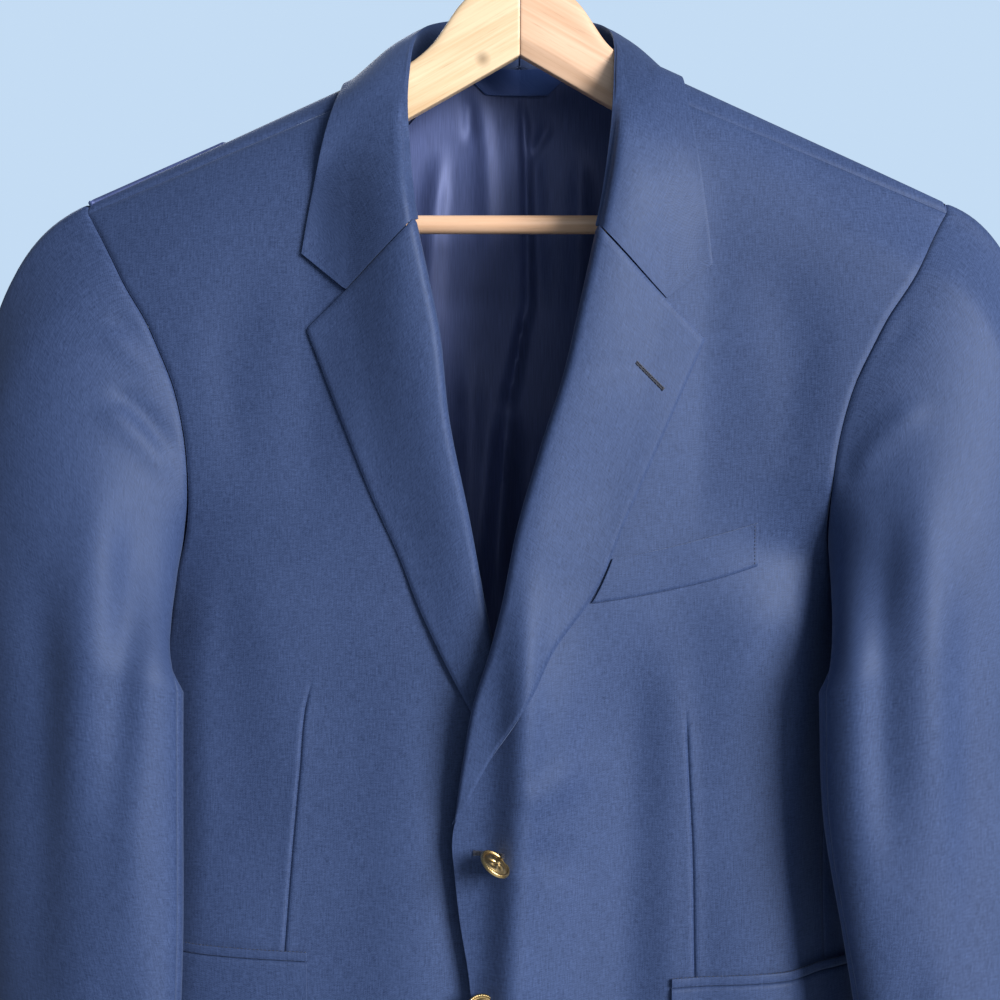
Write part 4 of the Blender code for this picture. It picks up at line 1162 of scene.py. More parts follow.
    def level_arc(self, side: Side, z: Array, count: int) -> Array:
        """Level sections from the front seam round the side to the back seam, along the superellipse.

        Args:
            side: The side of the body.
            z: Heights, one a row.
            count: Points on each section.

        Returns:
            Points in rows and columns.
        """
        form = self.form
        z = np.asarray(z, float)[:, None]
        half = form.sections("half_width", z)
        power = form.power / 2
        first = np.arcsin(np.minimum(1.0, (self.side_front("half", z) / half) ** power))
        last = math.pi - np.arcsin(np.minimum(1.0, (self.side_back("half", z) / half) ** power))
        turn = first + (last - first) * np.linspace(0, 1, count)
        x = side.value * half * np.sin(turn) ** (1 / power) + form.sway(z)
        depth = np.where(turn < math.pi / 2, form.sections("front_depth", z), form.sections("back_depth", z))
        y = form.centre_y - depth * np.sign(np.cos(turn)) * np.abs(np.cos(turn)) ** (1 / power)
        return np.stack(np.broadcast_arrays(x, y, z), axis=-1)

    def side_grid(self, side: Side, rows: int = 110, columns: int = 21) -> Array:
        """A side body: level arcs under the armpit's scoop.

        Args:
            side: The side of the body.
            rows: Rows of the grid.
            columns: Columns of the grid.

        Returns:
            Its outer points.
        """
        share = edged(columns - 6, 0.05)
        front_top, back_top = self.armhole_front.end("z", -1), self.armhole_back.end("z", -1)
        top = front_top + (back_top - front_top) * share + 4 * (ARMPIT_Z - front_top) * share * (1 - share)
        down = edged(rows - 6, 0.006)
        z = top[None] + (HEM_Z - top[None]) * down[:, None]
        line = []
        for column, part in enumerate(share):
            arc = self.level_arc(side, z[:, column], 48)
            run = run_along(arc)
            run = run / run[:, -1:]
            after = np.clip((run < part).sum(axis=1), 1, arc.shape[1] - 1)
            row = np.arange(len(arc))
            low, high = run[row, after - 1], run[row, after]
            mix = ((part - low) / (high - low))[:, None]
            line.append(arc[row, after - 1] * (1 - mix) + arc[row, after] * mix)
        return np.stack(line, axis=1)

    def outer_back(self, z: Numbers) -> Array:
        """Distance of the back armhole seam, then of the side seam, from the body's middle."""
        above = np.asarray(z, float) > self.armhole_back.end("z", -1)
        return np.where(above, self.armhole_back("half", z), self.side_back("half", z))

    def girth_rows(self) -> Array:
        """Girth of each of the back's upper rows at the neck, closer together at the shoulder seam."""
        girth = finer(self.back_girths, 74)
        return np.concatenate([[girth[0], girth[0] + 0.7, girth[0] + 1.6], girth[1:]])

    def back_grid(self, side: Side, columns: int = 60) -> Array:
        """A back from the shoulder seam over the ridge to the hem, from the centre seam to the armhole.

        Args:
            side: The side of the body.
            columns: Columns of the grid.

        Returns:
            Its outer points.
        """
        form, across = self.form, edged(columns - 6, 0.012)[None]
        first, last = self.back_girths[0], self.back_girths[-1]
        girth = self.girth_rows()[:, None]
        seam_end = -form.drop_girth(form.seam_end_drop)
        side_end = form.drop_girth(form.ridge_z(self.outer_back(ARMPIT_Z)) - ARMPIT_Z)
        inner = np.where(girth < self.back_neck.end("girth", -1), self.back_neck("x", girth), 0.0)
        outer_girth = seam_end + (side_end - seam_end) * (girth - first) / (last - first)
        outer = np.full_like(girth, form.shoulder_x)
        for _ in range(4):
            outer = self.outer_back(form.ridge_z(outer) - form.girth_drop(outer_girth))
        x = inner + (outer - inner) * across
        at = girth + (outer_girth - girth) * across
        z = form.ridge_z(x) - form.girth_drop(at)
        x = side.value * x + form.sway(z)
        y = np.where(at < 0, form.front_y(x, z), form.back_y(x, z))
        upper = np.stack([x, y, z], axis=-1)
        front = self.front_grid(side)[0]
        seam = even_line(front, 400)
        run = np.linspace(0, 1, 400)
        border = np.stack([np.interp(across[0], run, seam[:, axis]) for axis in range(3)], axis=-1)
        upper = upper + (border - upper[0])[None] * (1 - smooth((girth - girth[0]) / 40))[..., None]
        level = finer((self.back_levels[0] + 10, *self.back_levels), 56)[:, None]
        level = np.concatenate([level[:-1], [[HEM_Z + 1.6], [HEM_Z + 0.7], [HEM_Z]]])
        x = form.sway(level) + side.value * self.outer_back(level) * across
        z = level + 0 * x
        lower = np.stack([x, form.back_y(x, z), z], axis=-1)
        grid = np.concatenate([upper, lower])
        u, v = grid[..., 0], grid[..., 2]
        away = np.abs(u - form.sway(v))
        calm = eased(self.outer_back(v) - away, *self.calm_seam) * eased(away, 0, self.calm_middle)
        calm = calm * eased(form.ridge_z(u) - v, *self.calm_back) * (grid[..., 1] > form.ridge_y(u))
        grid[..., 1] += (crease_heights(BACK_CREASES, u, v) + unevenness(u, v, self.uneven_back, 4.2)) * calm
        return grid

    def build(self) -> None:
        """Makes the six panels."""
        arms = ["hanger_arm_left", "hanger_arm_right"]
        for side in Side:
            out, word = side.value, side.word
            front = seamed(self.front_grid(side), out, (Border.TOP, Border.END))
            flat = front[..., [0, 2]] * [1, -1]
            self.cloth.sewn(f"front_{word}", "navy_wool", front, out, arms, uv=flat)
            body = seamed(self.side_grid(side), out, PANEL_SEAMS)
            self.cloth.sewn(f"side_{word}", "navy_wool", body, out, arms)
            back = seamed(self.back_grid(side), -out, PANEL_SEAMS)
            flat = back[..., [0, 2]] * [1, -1]
            self.cloth.sewn(f"back_{word}", "navy_wool", back, -out, arms, uv=flat)


# The drape of each front, in the front view: X and Z in millimetres. Ridges stand forward, troughs sink.
FRONT_CREASES: dict[Side, list[Crease]] = {
    Side.LEFT: creases(
        (5, -440, -12, -800, 12.5, 12, 13, 1, 0.28, 0.28),
        (24, -450, 8, -800, 7.0, 15, 18, 1, 0.3, 0.3),
        (68, -470, 58, -790, -3.4, 13, 17, 3, 0.3, 0.3),
        (92, -470, 86, -790, 2.6, 11, 14, 2, 0.3, 0.3),
        (-2, -594, 52, -560, 2.0, 8, 14, 0, 0.2, 0.6),
        (2, -612, 40, -640, -1.6, 8, 14, 0, 0.2, 0.6),
        (60, -470, 44, -760, -2.2, 26, 34, -8, 0.3, 0.4),
        (176, -430, 150, -690, -3.2, 18, 30, -10, 0.3, 0.5),
        (148, -250, 170, -420, -2.4, 18, 22, 8, 0.4, 0.4),
        (120, -350, 150, -560, 1.6, 24, 30, -8, 0.4, 0.4),
    ),
    Side.RIGHT: creases(
        (-34, -560, -40, -800, -3.2, 14, 20, 2, 0.3, 0.45),
        (-66, -500, -70, -820, 2.4, 22, 30, -5, 0.35, 0.45),
        (-104, -470, -112, -760, -1.8, 24, 30, 6, 0.3, 0.4),
        (-186, -430, -172, -690, -3.0, 18, 28, 8, 0.3, 0.5),
        (-158, -250, -176, -420, -2.4, 18, 22, -8, 0.4, 0.4),
    ),
}
BACK_CREASES: list[Crease] = creases(
    (-190, -300, -120, -620, 3.4, 22, 34, 12, 0.3, 0.5),
    (182, -310, 110, -640, 3.2, 20, 32, -12, 0.3, 0.5),
    (-96, -270, -70, -560, -2.6, 22, 30, 6, 0.3, 0.5),
    (88, -280, 60, -540, -2.4, 24, 28, -8, 0.3, 0.5),
    (-60, -620, -52, -900, 2.6, 20, 30, 3, 0.35, 0.3),
    (48, -640, 62, -905, 2.4, 22, 30, -4, 0.35, 0.3),
    (-140, -640, -150, -900, -2.2, 22, 28, 4, 0.35, 0.3),
    (130, -650, 140, -900, -2.4, 20, 28, -4, 0.35, 0.3),
)


# ---- lapels and collar
@dataclass
class Lapels:
    """The turned part of each front: a round fold at the roll edge, then a leaf that settles on the panel."""

    body: BodyPanels
    cloth: Cloth
    gorge_top: dict[Side, Pair] = by_side((46.0, -247.0), (-62.8, -244.2))
    rest: float = 2.5
    softness: float = 56.0
    rows: int = 130
    fold_points: int = 15
    leaf_points: int = 34

    def leaf_height(self, width: Array, radius: Numbers, rest: float | None = None) -> Array:
        """Height of a leaf above its panel: from the top of the fold, eased down to where it rests.

        Args:
            width: Distance from the roll edge.
            radius: Radius of the fold.
            rest: Height at which it rests.

        Returns:
            The height of its outer face.
        """
        rest = self.rest if rest is None else rest
        top = 2 * radius - CLOTH
        return rest + (top - rest) * (1 - smooth((width - radius) / self.softness))

    def sides(self, side: Side) -> tuple[Array, Array]:
        """Roll edge and outer edge in the front view, top to bottom.

        Args:
            side: The lapel.

        Returns:
            Two lines of as many points as the lapel has rows.
        """
        roll, edge = self.body.cut.roll[side], self.body.cut.lapel_edge[side]
        roll_z = np.linspace(self.gorge_top[side][1], edge.end("z", -1) - 1, 200)
        edge_z = np.linspace(edge.end("z"), edge.end("z", -1), 200)
        inner = even_line(np.column_stack([roll("x", roll_z), roll_z]), self.rows)
        outer = even_line(np.column_stack([edge("x", edge_z), edge_z]), self.rows)
        return inner, outer

    def grid(self, side: Side) -> Array:
        """A lapel: each row a half circle at the roll edge, then a leaf to the outer edge.

        Args:
            side: The lapel.

        Returns:
            Its outer points.
        """
        inner, outer = self.sides(side)
        length = np.linalg.norm(outer - inner, axis=1)[:, None]
        radius = np.minimum(self.body.roll_radius("radius", inner[:, 1])[:, None], 0.36 * length)
        turn = np.linspace(-math.pi / 2, math.pi / 2, self.fold_points)[None]
        fold = np.stack([radius * (1 - np.cos(turn)), radius - CLOTH + radius * np.sin(turn)], axis=-1)
        share = edged(self.leaf_points - 4, 0.03)[None, 1:]
        width = radius + (length - radius) * share**1.1
        leaf = np.stack([width, self.leaf_height(width, radius)], axis=-1)
        leaf[..., 1] += 0.7 * np.sin(math.pi * share) * smooth(length / 60)
        leaf[..., 1] -= 0.9 * smooth(1 - (length - width) / 2.0)
        profile = np.concatenate([fold, leaf], axis=1)
        plane = inner[:, None] + profile[..., :1] * ((outer - inner) / length)[:, None]
        drape = crease_heights(LAPEL_CREASES[side], plane[..., 0], plane[..., 1])
        y = self.body.surface(side, plane[..., 0], plane[..., 1]) - profile[..., 1] - drape
        return np.stack([plane[..., 0], y, plane[..., 1]], axis=-1)

    def build(self) -> None:
        """Makes both lapels."""
        for side in Side:
            grid = seamed(self.grid(side), side.value, (Border.TOP,), 0.7, 2.0)
            rests_on = [f"front_{side.word}_cloth"]
            self.cloth.sewn(f"lapel_{side.word}", "navy_wool", grid, side.value, rests_on, "folded")


LAPEL_CREASES: dict[Side, list[Crease]] = {
    Side.LEFT: creases(
        (20, -300, -8, -500, 1.2, 16, 12, 4, 0.3, 0.4),
        (70, -330, 10, -520, -0.9, 20, 10, -4, 0.3, 0.4),
    ),
    Side.RIGHT: creases(
        (-58, -290, -28, -480, 1.2, 16, 12, -4, 0.3, 0.4),
        (-96, -330, -40, -520, -0.9, 20, 10, 4, 0.3, 0.4),
    ),
}


@dataclass
class Collar:
    """Stand, fold and leaf in one cloth, from one gorge round the neck to the other."""

    body: BodyPanels
    lapels: Lapels
    cloth: Cloth
    crest: float = 6.8
    wider: float = 3.6
    rest: float = 2.6
    clear: float = 1.8
    wall: float = 1.8
    notch_share: float = 0.62
    notch_on_lapel: float = 0.636
    notch_reach: float = 0.22
    tilt: float = 0.025
    rows: int = 161
    stand_points: int = 9
    leaf_points: int = 40
    sections: Table = Table("along", {
        "along": [0.0, 0.12, 0.26, 0.38, 0.50, 0.62, 0.75, 0.88, 1.0],
        "middle": [-8.4, -7.4, -6.6, -5.4, -4.0, -3.0, -2.0, -0.8, 0.0],
        "fold_x": [54.6, 61.5, 65.0, 66.0, 66.5, 64.0, 54.0, 30.0, 0.0],
        "fold_y": [-55.0, -50.0, -38.0, -21.0, 5.0, 28.0, 50.0, 67.0, 72.0],
        "fold_z": [-245.2, -206.0, -170.0, -145.0, -120.0, -106.0, -95.0, -87.5, -85.0],
        "edge_x": [123.5, 119.0, 113.5, 108.0, 105.0, 102.0, 88.0, 50.0, 0.0],
        "edge_y": [-54.0, -52.0, -46.0, -30.0, 0.0, 34.0, 63.0, 80.0, 84.0],
        "edge_z": [-265.0, -232.0, -198.0, -166.0, -147.0, -145.0, -142.0, -139.0, -138.0],
    })

    def neckline(self, side: Side) -> Array:
        """The body's neckline from the gorge over the shoulder to the centre back, read evenly."""
        front = self.body.front_grid(side)[:, 0]
        front = front[front[:, 2] > self.body.front_levels[3] - 0.5]
        girth = self.body.girth_rows()
        back = self.body.back_grid(side)[: len(girth), 0]
        back = back[(girth > -22.5) & (girth < 90.5)]
        return even_line(np.vstack([front[::-1], back]), 401)

    def row(self, position: float, seam_line: Array) -> Array:
        """One section, made of two curves that meet at the fold.

        Args:
            position: -1 at the right gorge, 0 at the centre back and 1 at the left gorge.
            seam_line: The neckline of that side.

        Returns:
            Points from the neck seam up the stand, over the fold and down the leaf.
        """
        side = Side.LEFT if position >= 0 else Side.RIGHT
        out = side.value
        along = 1 - abs(position)
        read = {key: float(self.sections(key, along)) for key in self.sections.columns}
        lower = self.tilt * smooth((0.5 - along) / 0.4)

        def place(part: str) -> Array:
            """A point of the section, with the left side hung a little lower."""
            x = read["middle"] + out * read[part + "_x"]
            return np.array([x, read[part + "_y"], read[part + "_z"] - lower * (x - read["middle"])])

        fold, edge = place("fold"), place("edge")
        seam = seam_line[int(round(along * (len(seam_line) - 1)))]
        seam = seam + unit(fold - seam) * 0.6
        away = unit((edge - fold) * [1, 1, 0.3])
        rise, drop = fold - seam, edge - fold
        crest = self.crest + self.wider * float(smooth((along - 0.06) / 0.14))
        crest = crest * min(1.0, 0.35 + float(np.linalg.norm(rise)) / 24)
        under = fold - away * crest * 0.9 + 0.1 * rise
        stand = bezier(seam, seam + 0.5 * rise, under, fold, self.stand_points)
        lead = fold + 0.55 * drop - np.array([0, 2.0, -2.0])
        leaf = bezier(fold, fold + away * crest * 1.6, lead, edge, self.leaf_points)
        leaf = self.end_of_leaf(leaf, edge, side, along)
        front = smooth((0.32 - along) / 0.18)
        width = np.linalg.norm((leaf - leaf[0])[:, [0, 2]], axis=1)
        flat = self.body.surface(side, leaf[:, 0], leaf[:, 2]) - self.height(width)
        leaf[:, 1] += (flat - leaf[:, 1]) * front
        over_shoulder = smooth((np.abs(leaf[:, 0]) - 78) / 8) * (1 - front)
        rest = self.body.form.shoulder_top(leaf[:, 0], leaf[:, 1]) + self.wall + self.clear
        leaf[:, 2] += np.maximum(rest - leaf[:, 2], 0) * over_shoulder
        stand += (leaf[0] - stand[-1]) * np.linspace(0, 1, len(stand))[:, None] ** 2
        return np.vstack([stand[:-1], leaf])

    def height(self, width: Array) -> Array:
        """Height of the folded leaf above the panel: a circle at the fold, then an eased settling."""
        fold = self.crest - CLOTH + np.sqrt(np.clip(self.crest**2 - (self.crest - width) ** 2, 0, None))
        leaf = self.lapels.leaf_height(np.maximum(width, self.crest), self.crest, self.rest)
        return np.where(width < self.crest, fold, leaf)

    def end_of_leaf(self, leaf: Array, edge: Array, side: Side, along: float) -> Array:
        """Bends the leaf, near its end, to the gorge seam and then out to the collar's corner.

        Args:
            leaf: The leaf's points.
            edge: Its outer point.
            side: The side of the collar.
            along: Share of the way from the gorge to the centre back.

        Returns:
            The bent leaf.
        """
        near = 1 - smooth(along / self.notch_reach)
        start = np.array(self.lapels.gorge_top[side])
        tip_row = self.body.cut.lapel_edge[side]
        tip = np.array([tip_row.end("x"), tip_row.end("z")])
        step = unit(tip - start)
        clear = np.array([side.value * -step[1], side.value * step[0]]) * 0.12
        notch = start + self.notch_on_lapel * (tip - start) + clear
        share = np.linspace(0, 1, len(leaf))[:, None]
        bent = start + clear + (notch - start - clear) * np.minimum(share / self.notch_share, 1)
        past = np.clip((share - self.notch_share) / (1 - self.notch_share), 0, 1)
        bent = bent + (edge[[0, 2]] - notch) * past
        leaf = leaf.copy()
        leaf[:, [0, 2]] += (bent - leaf[:, [0, 2]]) * near
        return leaf

    def grid(self) -> Array:
        """All the sections, from the right gorge to the left, closer together at the ends."""
        lines = {side: self.neckline(side) for side in Side}
        ends = np.sin(np.linspace(-1, 1, self.rows) * math.pi / 2 * 0.8) / math.sin(math.pi / 2 * 0.8)
        return np.array([self.row(p, lines[Side.LEFT if p >= 0 else Side.RIGHT]) for p in ends])

    def build(self) -> None:
        """Makes the collar."""
        rests_on = ["front_left_cloth", "front_right_cloth"]
        self.cloth.sewn("collar", "navy_wool", self.grid(), 1, rests_on, "folded")


# ---- sleeves
@dataclass
class Sleeves:
    """Two-piece sleeves, set into the armholes and hung forward of the body's sides."""

    body: BodyPanels
    cloth: Cloth
    finer: int = 6
    columns: int = 26
    front_seam: int = 11
    hind_seam: int = 19
    turn: float = math.radians(20)
    twist: float = 0.5
    bulge: float = 9.0
    dip: float = 40.0
    front_hang_turn: float = 2.4
    front_hang_spread: float = 0.52
    cuff_z: float = -858.0
    cap_rows: int = 50
    arm_rows: int = 84
    rings: Table = Table("z", {
        "z": [-484, -560, -640, -720, -790, -858],
        "half_length": [75, 72, 68, 63, 60, 58],
        "half_depth": [36, 35, 33, 30, 26, 23],
        "middle_y": [-50, -51, -53, -57, -63, -70],
        "left": [176, 178, 189, 199, 205, 208],
        "right": [200, 200, 200, 202, 206, 210],
    })

    @property
    def count(self) -> int:
        """Columns all round a sleeve."""
        return self.columns * self.finer

    def round_share(self) -> tuple[Array, Array]:
        """Turn of each column round the sleeve, and how low it lies: 0 at the outer side, 1 at the inner."""
        turn = turns(self.count)
        return turn, (1 - np.cos(turn)) / 2

    def armhole(self, side: Side) -> Array:
        """The armhole's loop: down the front, round the armpit and up the back, read evenly."""
        front, back = self.body.front_grid(side)[:, -1], self.body.back_grid(side)[:, -1]
        front = front[front[:, 2] > self.body.armhole_front.end("z", -1) + 4]
        back = back[back[:, 2] > self.body.armhole_back.end("z", -1) + 4]
        loop = np.vstack([front, self.body.side_grid(side)[0], back[::-1]])
        return even_line(loop, self.count + 1)[:-1]

    def ring(self, side: Side, z: Numbers) -> Array:
        """Level rings: ellipses turned forward, the first of them dipping under the armpit.

        Args:
            side: The sleeve.
            z: Height of each ring.

        Returns:
            Points, a row for each ring.
        """
        z = np.atleast_1d(np.asarray(z, float))[:, None]
        turn, low = self.round_share()
        turn = turn + self.twist * low
        long_way = self.rings("half_length", z) * np.cos(turn)
        deep_way = self.rings("half_depth", z) * np.sin(turn)
        middle = self.rings(side.word, z) + self.rings("half_length", z) * math.cos(self.turn)
        x = middle + long_way * math.cos(self.turn) + deep_way * math.sin(self.turn)
        y = self.rings("middle_y", z) + long_way * math.sin(self.turn) - deep_way * math.cos(self.turn)
        top = self.rings.end("z")
        settle = 1 - smooth((top - z) / (top - self.cuff_z))
        return np.stack([side.value * x, y, z - self.dip * settle * low], axis=-1)

    def grid(self, side: Side) -> Array:
        """A sleeve: Hermite curves from the armhole to the first ring, then level rings to the cuff.

        Args:
            side: The sleeve.

        Returns:
            Its outer points, each row a loop.
        """
        out = side.value
        turn, low = self.round_share()
        way = unit(np.column_stack([out * (1 + 0.1 * low), -0.45 * np.sin(turn), -0.35 + 0.35 * low]))
        start = self.armhole(side) + way * 0.1
        top = self.rings.end("z")
        end = self.ring(side, top)[0]
        span = np.linalg.norm(end - start, axis=1, keepdims=True)
        falls = np.exp(-((turn - self.front_hang_turn) / self.front_hang_spread) ** 2)[:, None]
        leave = way * span * (0.95 - 0.05 * low[:, None]) * (1 - falls) + (end - start) * falls
        arrive = np.array([0, 0, -1]) * span * (0.9 - 0.3 * low[:, None])
        share = np.concatenate([[0, 0.008, 0.018], np.linspace(0.03, 1, self.cap_rows)])[:, None, None]
        cap = ((2 * share**3 - 3 * share**2 + 1) * start + (share**3 - 2 * share**2 + share) * leave
               + (3 * share**2 - 2 * share**3) * end + (share**3 - share**2) * arrive)
        cap[..., 0] += out * self.bulge * low**2 * (1 - falls[:, 0]) * np.sin(math.pi * share[..., 0])
        levels = np.linspace(top, self.cuff_z, self.arm_rows)[1:]
        levels = np.concatenate([levels[:-1], [self.cuff_z + 1.5, self.cuff_z + 0.6, self.cuff_z]])
        grid = np.concatenate([cap, self.ring(side, levels)])
        return grid + self.drape(side, grid)

    def drape(self, side: Side, grid: Array) -> Array:
        """Creases and unevenness along the cloth's normals, on the front half and on the back half.

        Args:
            side: The sleeve.
            grid: Its outer points.

        Returns:
            How far each point moves.
        """
        loop = np.concatenate([grid, grid[:, :1]], axis=1)
        out = (grid_normals(loop) * -side.value)[:, :-1]
        x, z = grid[..., 0], grid[..., 2]
        facing = smooth(0.5 - out[..., 1] * 1.4)
        height = crease_heights(SLEEVE_CREASES[side], x, z) * facing
        height = height + crease_heights(SLEEVE_BACK_CREASES, x * side.value, z) * (1 - facing)
        height = height + unevenness(np.arctan2(out[..., 1], out[..., 0]) * 55, z, 0.7, 2.0 + side.value)
        from_seam = np.cumsum(np.linalg.norm(np.diff(grid, axis=0, prepend=grid[:1]), axis=-1), axis=0)
        return out * (height * smooth(from_seam / 22))[..., None]

    def build(self) -> None:
        """Makes the four sleeve pieces."""
        for side in Side:
            grid = self.grid(side)
            first, last = self.front_seam * self.finer, self.hind_seam * self.finer
            under = grid[:, first:last + 1]
            upper = np.concatenate([grid[:, last:], grid[:, :first + 1]], axis=1)
            for part, panel in (("upper", upper), ("under", under)):
                shell = seamed(panel, -side.value, PANEL_SEAMS, 0.8, 2.6)
                rests_on = [f"front_{side.word}_cloth", f"back_{side.word}_cloth"]
                self.cloth.sewn(f"sleeve_{part}_{side.word}", "navy_wool", shell, -side.value, rests_on)


SLEEVE_CREASES: dict[Side, list[Crease]] = {
    Side.RIGHT: creases(
        (-252, -296, -208, -332, -2.6, 5, 7, 3, 0.3, 0.3),
        (-256, -306, -206, -346, 2.2, 6, 8, 3, 0.3, 0.3),
        (-250, -340, -204, -386, -2.8, 5, 8, 4, 0.3, 0.3),
        (-254, -352, -204, -402, 2.0, 6, 9, 4, 0.3, 0.3),
        (-230, -400, -236, -620, -4.2, 11, 15, 6, 0.25, 0.4),
        (-250, -380, -262, -640, 3.6, 13, 18, 6, 0.25, 0.4),
        (-214, -470, -222, -700, 2.6, 9, 12, -4, 0.25, 0.4),
        (-280, -420, -288, -760, -3.6, 14, 18, 5, 0.25, 0.4),
        (-236, -660, -232, -850, -2.4, 12, 14, 3, 0.3, 0.2),
    ),
    Side.LEFT: creases(
        (236, -300, 192, -340, -2.4, 6, 8, -3, 0.3, 0.3),
        (240, -350, 190, -404, 2.4, 7, 10, -4, 0.3, 0.3),
        (214, -400, 210, -640, -4.4, 11, 15, -6, 0.25, 0.4),
        (196, -440, 200, -700, 3.2, 9, 13, -4, 0.25, 0.4),
        (236, -380, 240, -640, 3.6, 13, 18, -6, 0.25, 0.4),
        (264, -420, 268, -760, -3.6, 14, 18, -5, 0.25, 0.4),
        (226, -660, 228, -850, -2.4, 12, 14, -3, 0.3, 0.2),
    ),
}
SLEEVE_BACK_CREASES: list[Crease] = creases(
    (262, -330, 250, -560, -3.4, 12, 16, 6, 0.3, 0.4),
    (236, -420, 250, -660, 3.2, 12, 16, -5, 0.3, 0.4),
    (290, -470, 282, -640, -3.8, 10, 14, 5, 0.3, 0.4),
    (270, -600, 276, -800, 2.8, 14, 18, -4, 0.3, 0.4),
)


# ---- pockets and stitches
@dataclass
class BreastWelt:
    """The breast pocket's welt, a doubled strip sewn at its ends and its lower edge."""

    body: BodyPanels
    cloth: Cloth
    thread: Material
    rise: float = 2.0
    edges: Table = Table("x", {
        "x": [44.0, 68.0, 92.0, 118.0, 142.1],
        "top": [-446.5, -442.5, -437.4, -430.8, -423.6],
        "bottom": [-471.2, -467.8, -463.3, -457.4, -450.0],
    })

    def point(self, x: Array, down: Array) -> tuple[Array, Array]:
        """Place on the welt in the front view, with its inner end cut along the lapel's edge.

        Args:
            x: Sideways place before the end is cut.
            down: Share of the way from its top edge to its bottom edge.

        Returns:
            X and Z.
        """
        first, last = self.edges.end("x"), self.edges.end("x", -1)
        z = self.edges("top", x) * (1 - down) + self.edges("bottom", x) * down
        clear = self.body.cut.lapel_edge[Side.LEFT]("x", z) + 1.5
        x = x + (clear - first) * (last - x) / (last - first)
        return x, self.edges("top", x) * (1 - down) + self.edges("bottom", x) * down

    def build(self) -> None:
        """Makes the welt, its stitched end and its lower seam."""
        down = edged(12, 0.08)[:, None]
        across = np.linspace(self.edges.end("x"), self.edges.end("x", -1), 90)[None]
        x, z = self.point(across + 0 * down, down + 0 * across)
        middle = np.sin(math.pi * (across - across[0, 0]) / (across[0, -1] - across[0, 0]))
        lift = self.rise + 1.5 * middle**2 * (1 - down) ** 2 + 0.35 * np.sin(math.pi * down)
        grid = np.stack([x, self.body.surface(Side.LEFT, x, z), z], axis=-1)
        grid = grid + grid_normals(grid) * lift[..., None]
        grid = seamed(grid, 1, (Border.BOTTOM,), 0.8, 1.6)
        flat = grid[..., [0, 2]] * [1, -1]
        self.cloth.sewn("breast_welt", "navy_wool", grid, 1, ["front_left_cloth"], "folded", flat)
        row = Bundle()
        out = grid_normals(grid)
        stitch_line(row, (grid + out * 0.12)[1:-2, -3], 2.2, 1.3, 0.22)
        seat(row.piece("welt_stitches", self.thread), "navy_wool")


def stitch_line(bundle: Bundle, path: Array, pitch: float, length: float, radius: float) -> None:
    """Adds a line of stitches that rise and dive along a path.

    Args:
        bundle: The bundle that takes them.
        path: Points of the seam on the cloth's surface.
        pitch: Distance from a stitch to the next.
        length: Length of the thread that shows.
        radius: Radius of the thread.
    """
    run = run_along(path)
    for start in np.arange(0.4, run[-1] - length, pitch):
        at = start + length * np.linspace(0, 1, 5)
        line = np.stack([np.interp(at, run, path[:, axis]) for axis in range(3)], axis=-1)
        bundle.tube(line, radius * np.array([0.45, 0.95, 1.0, 0.95, 0.45]), 6)


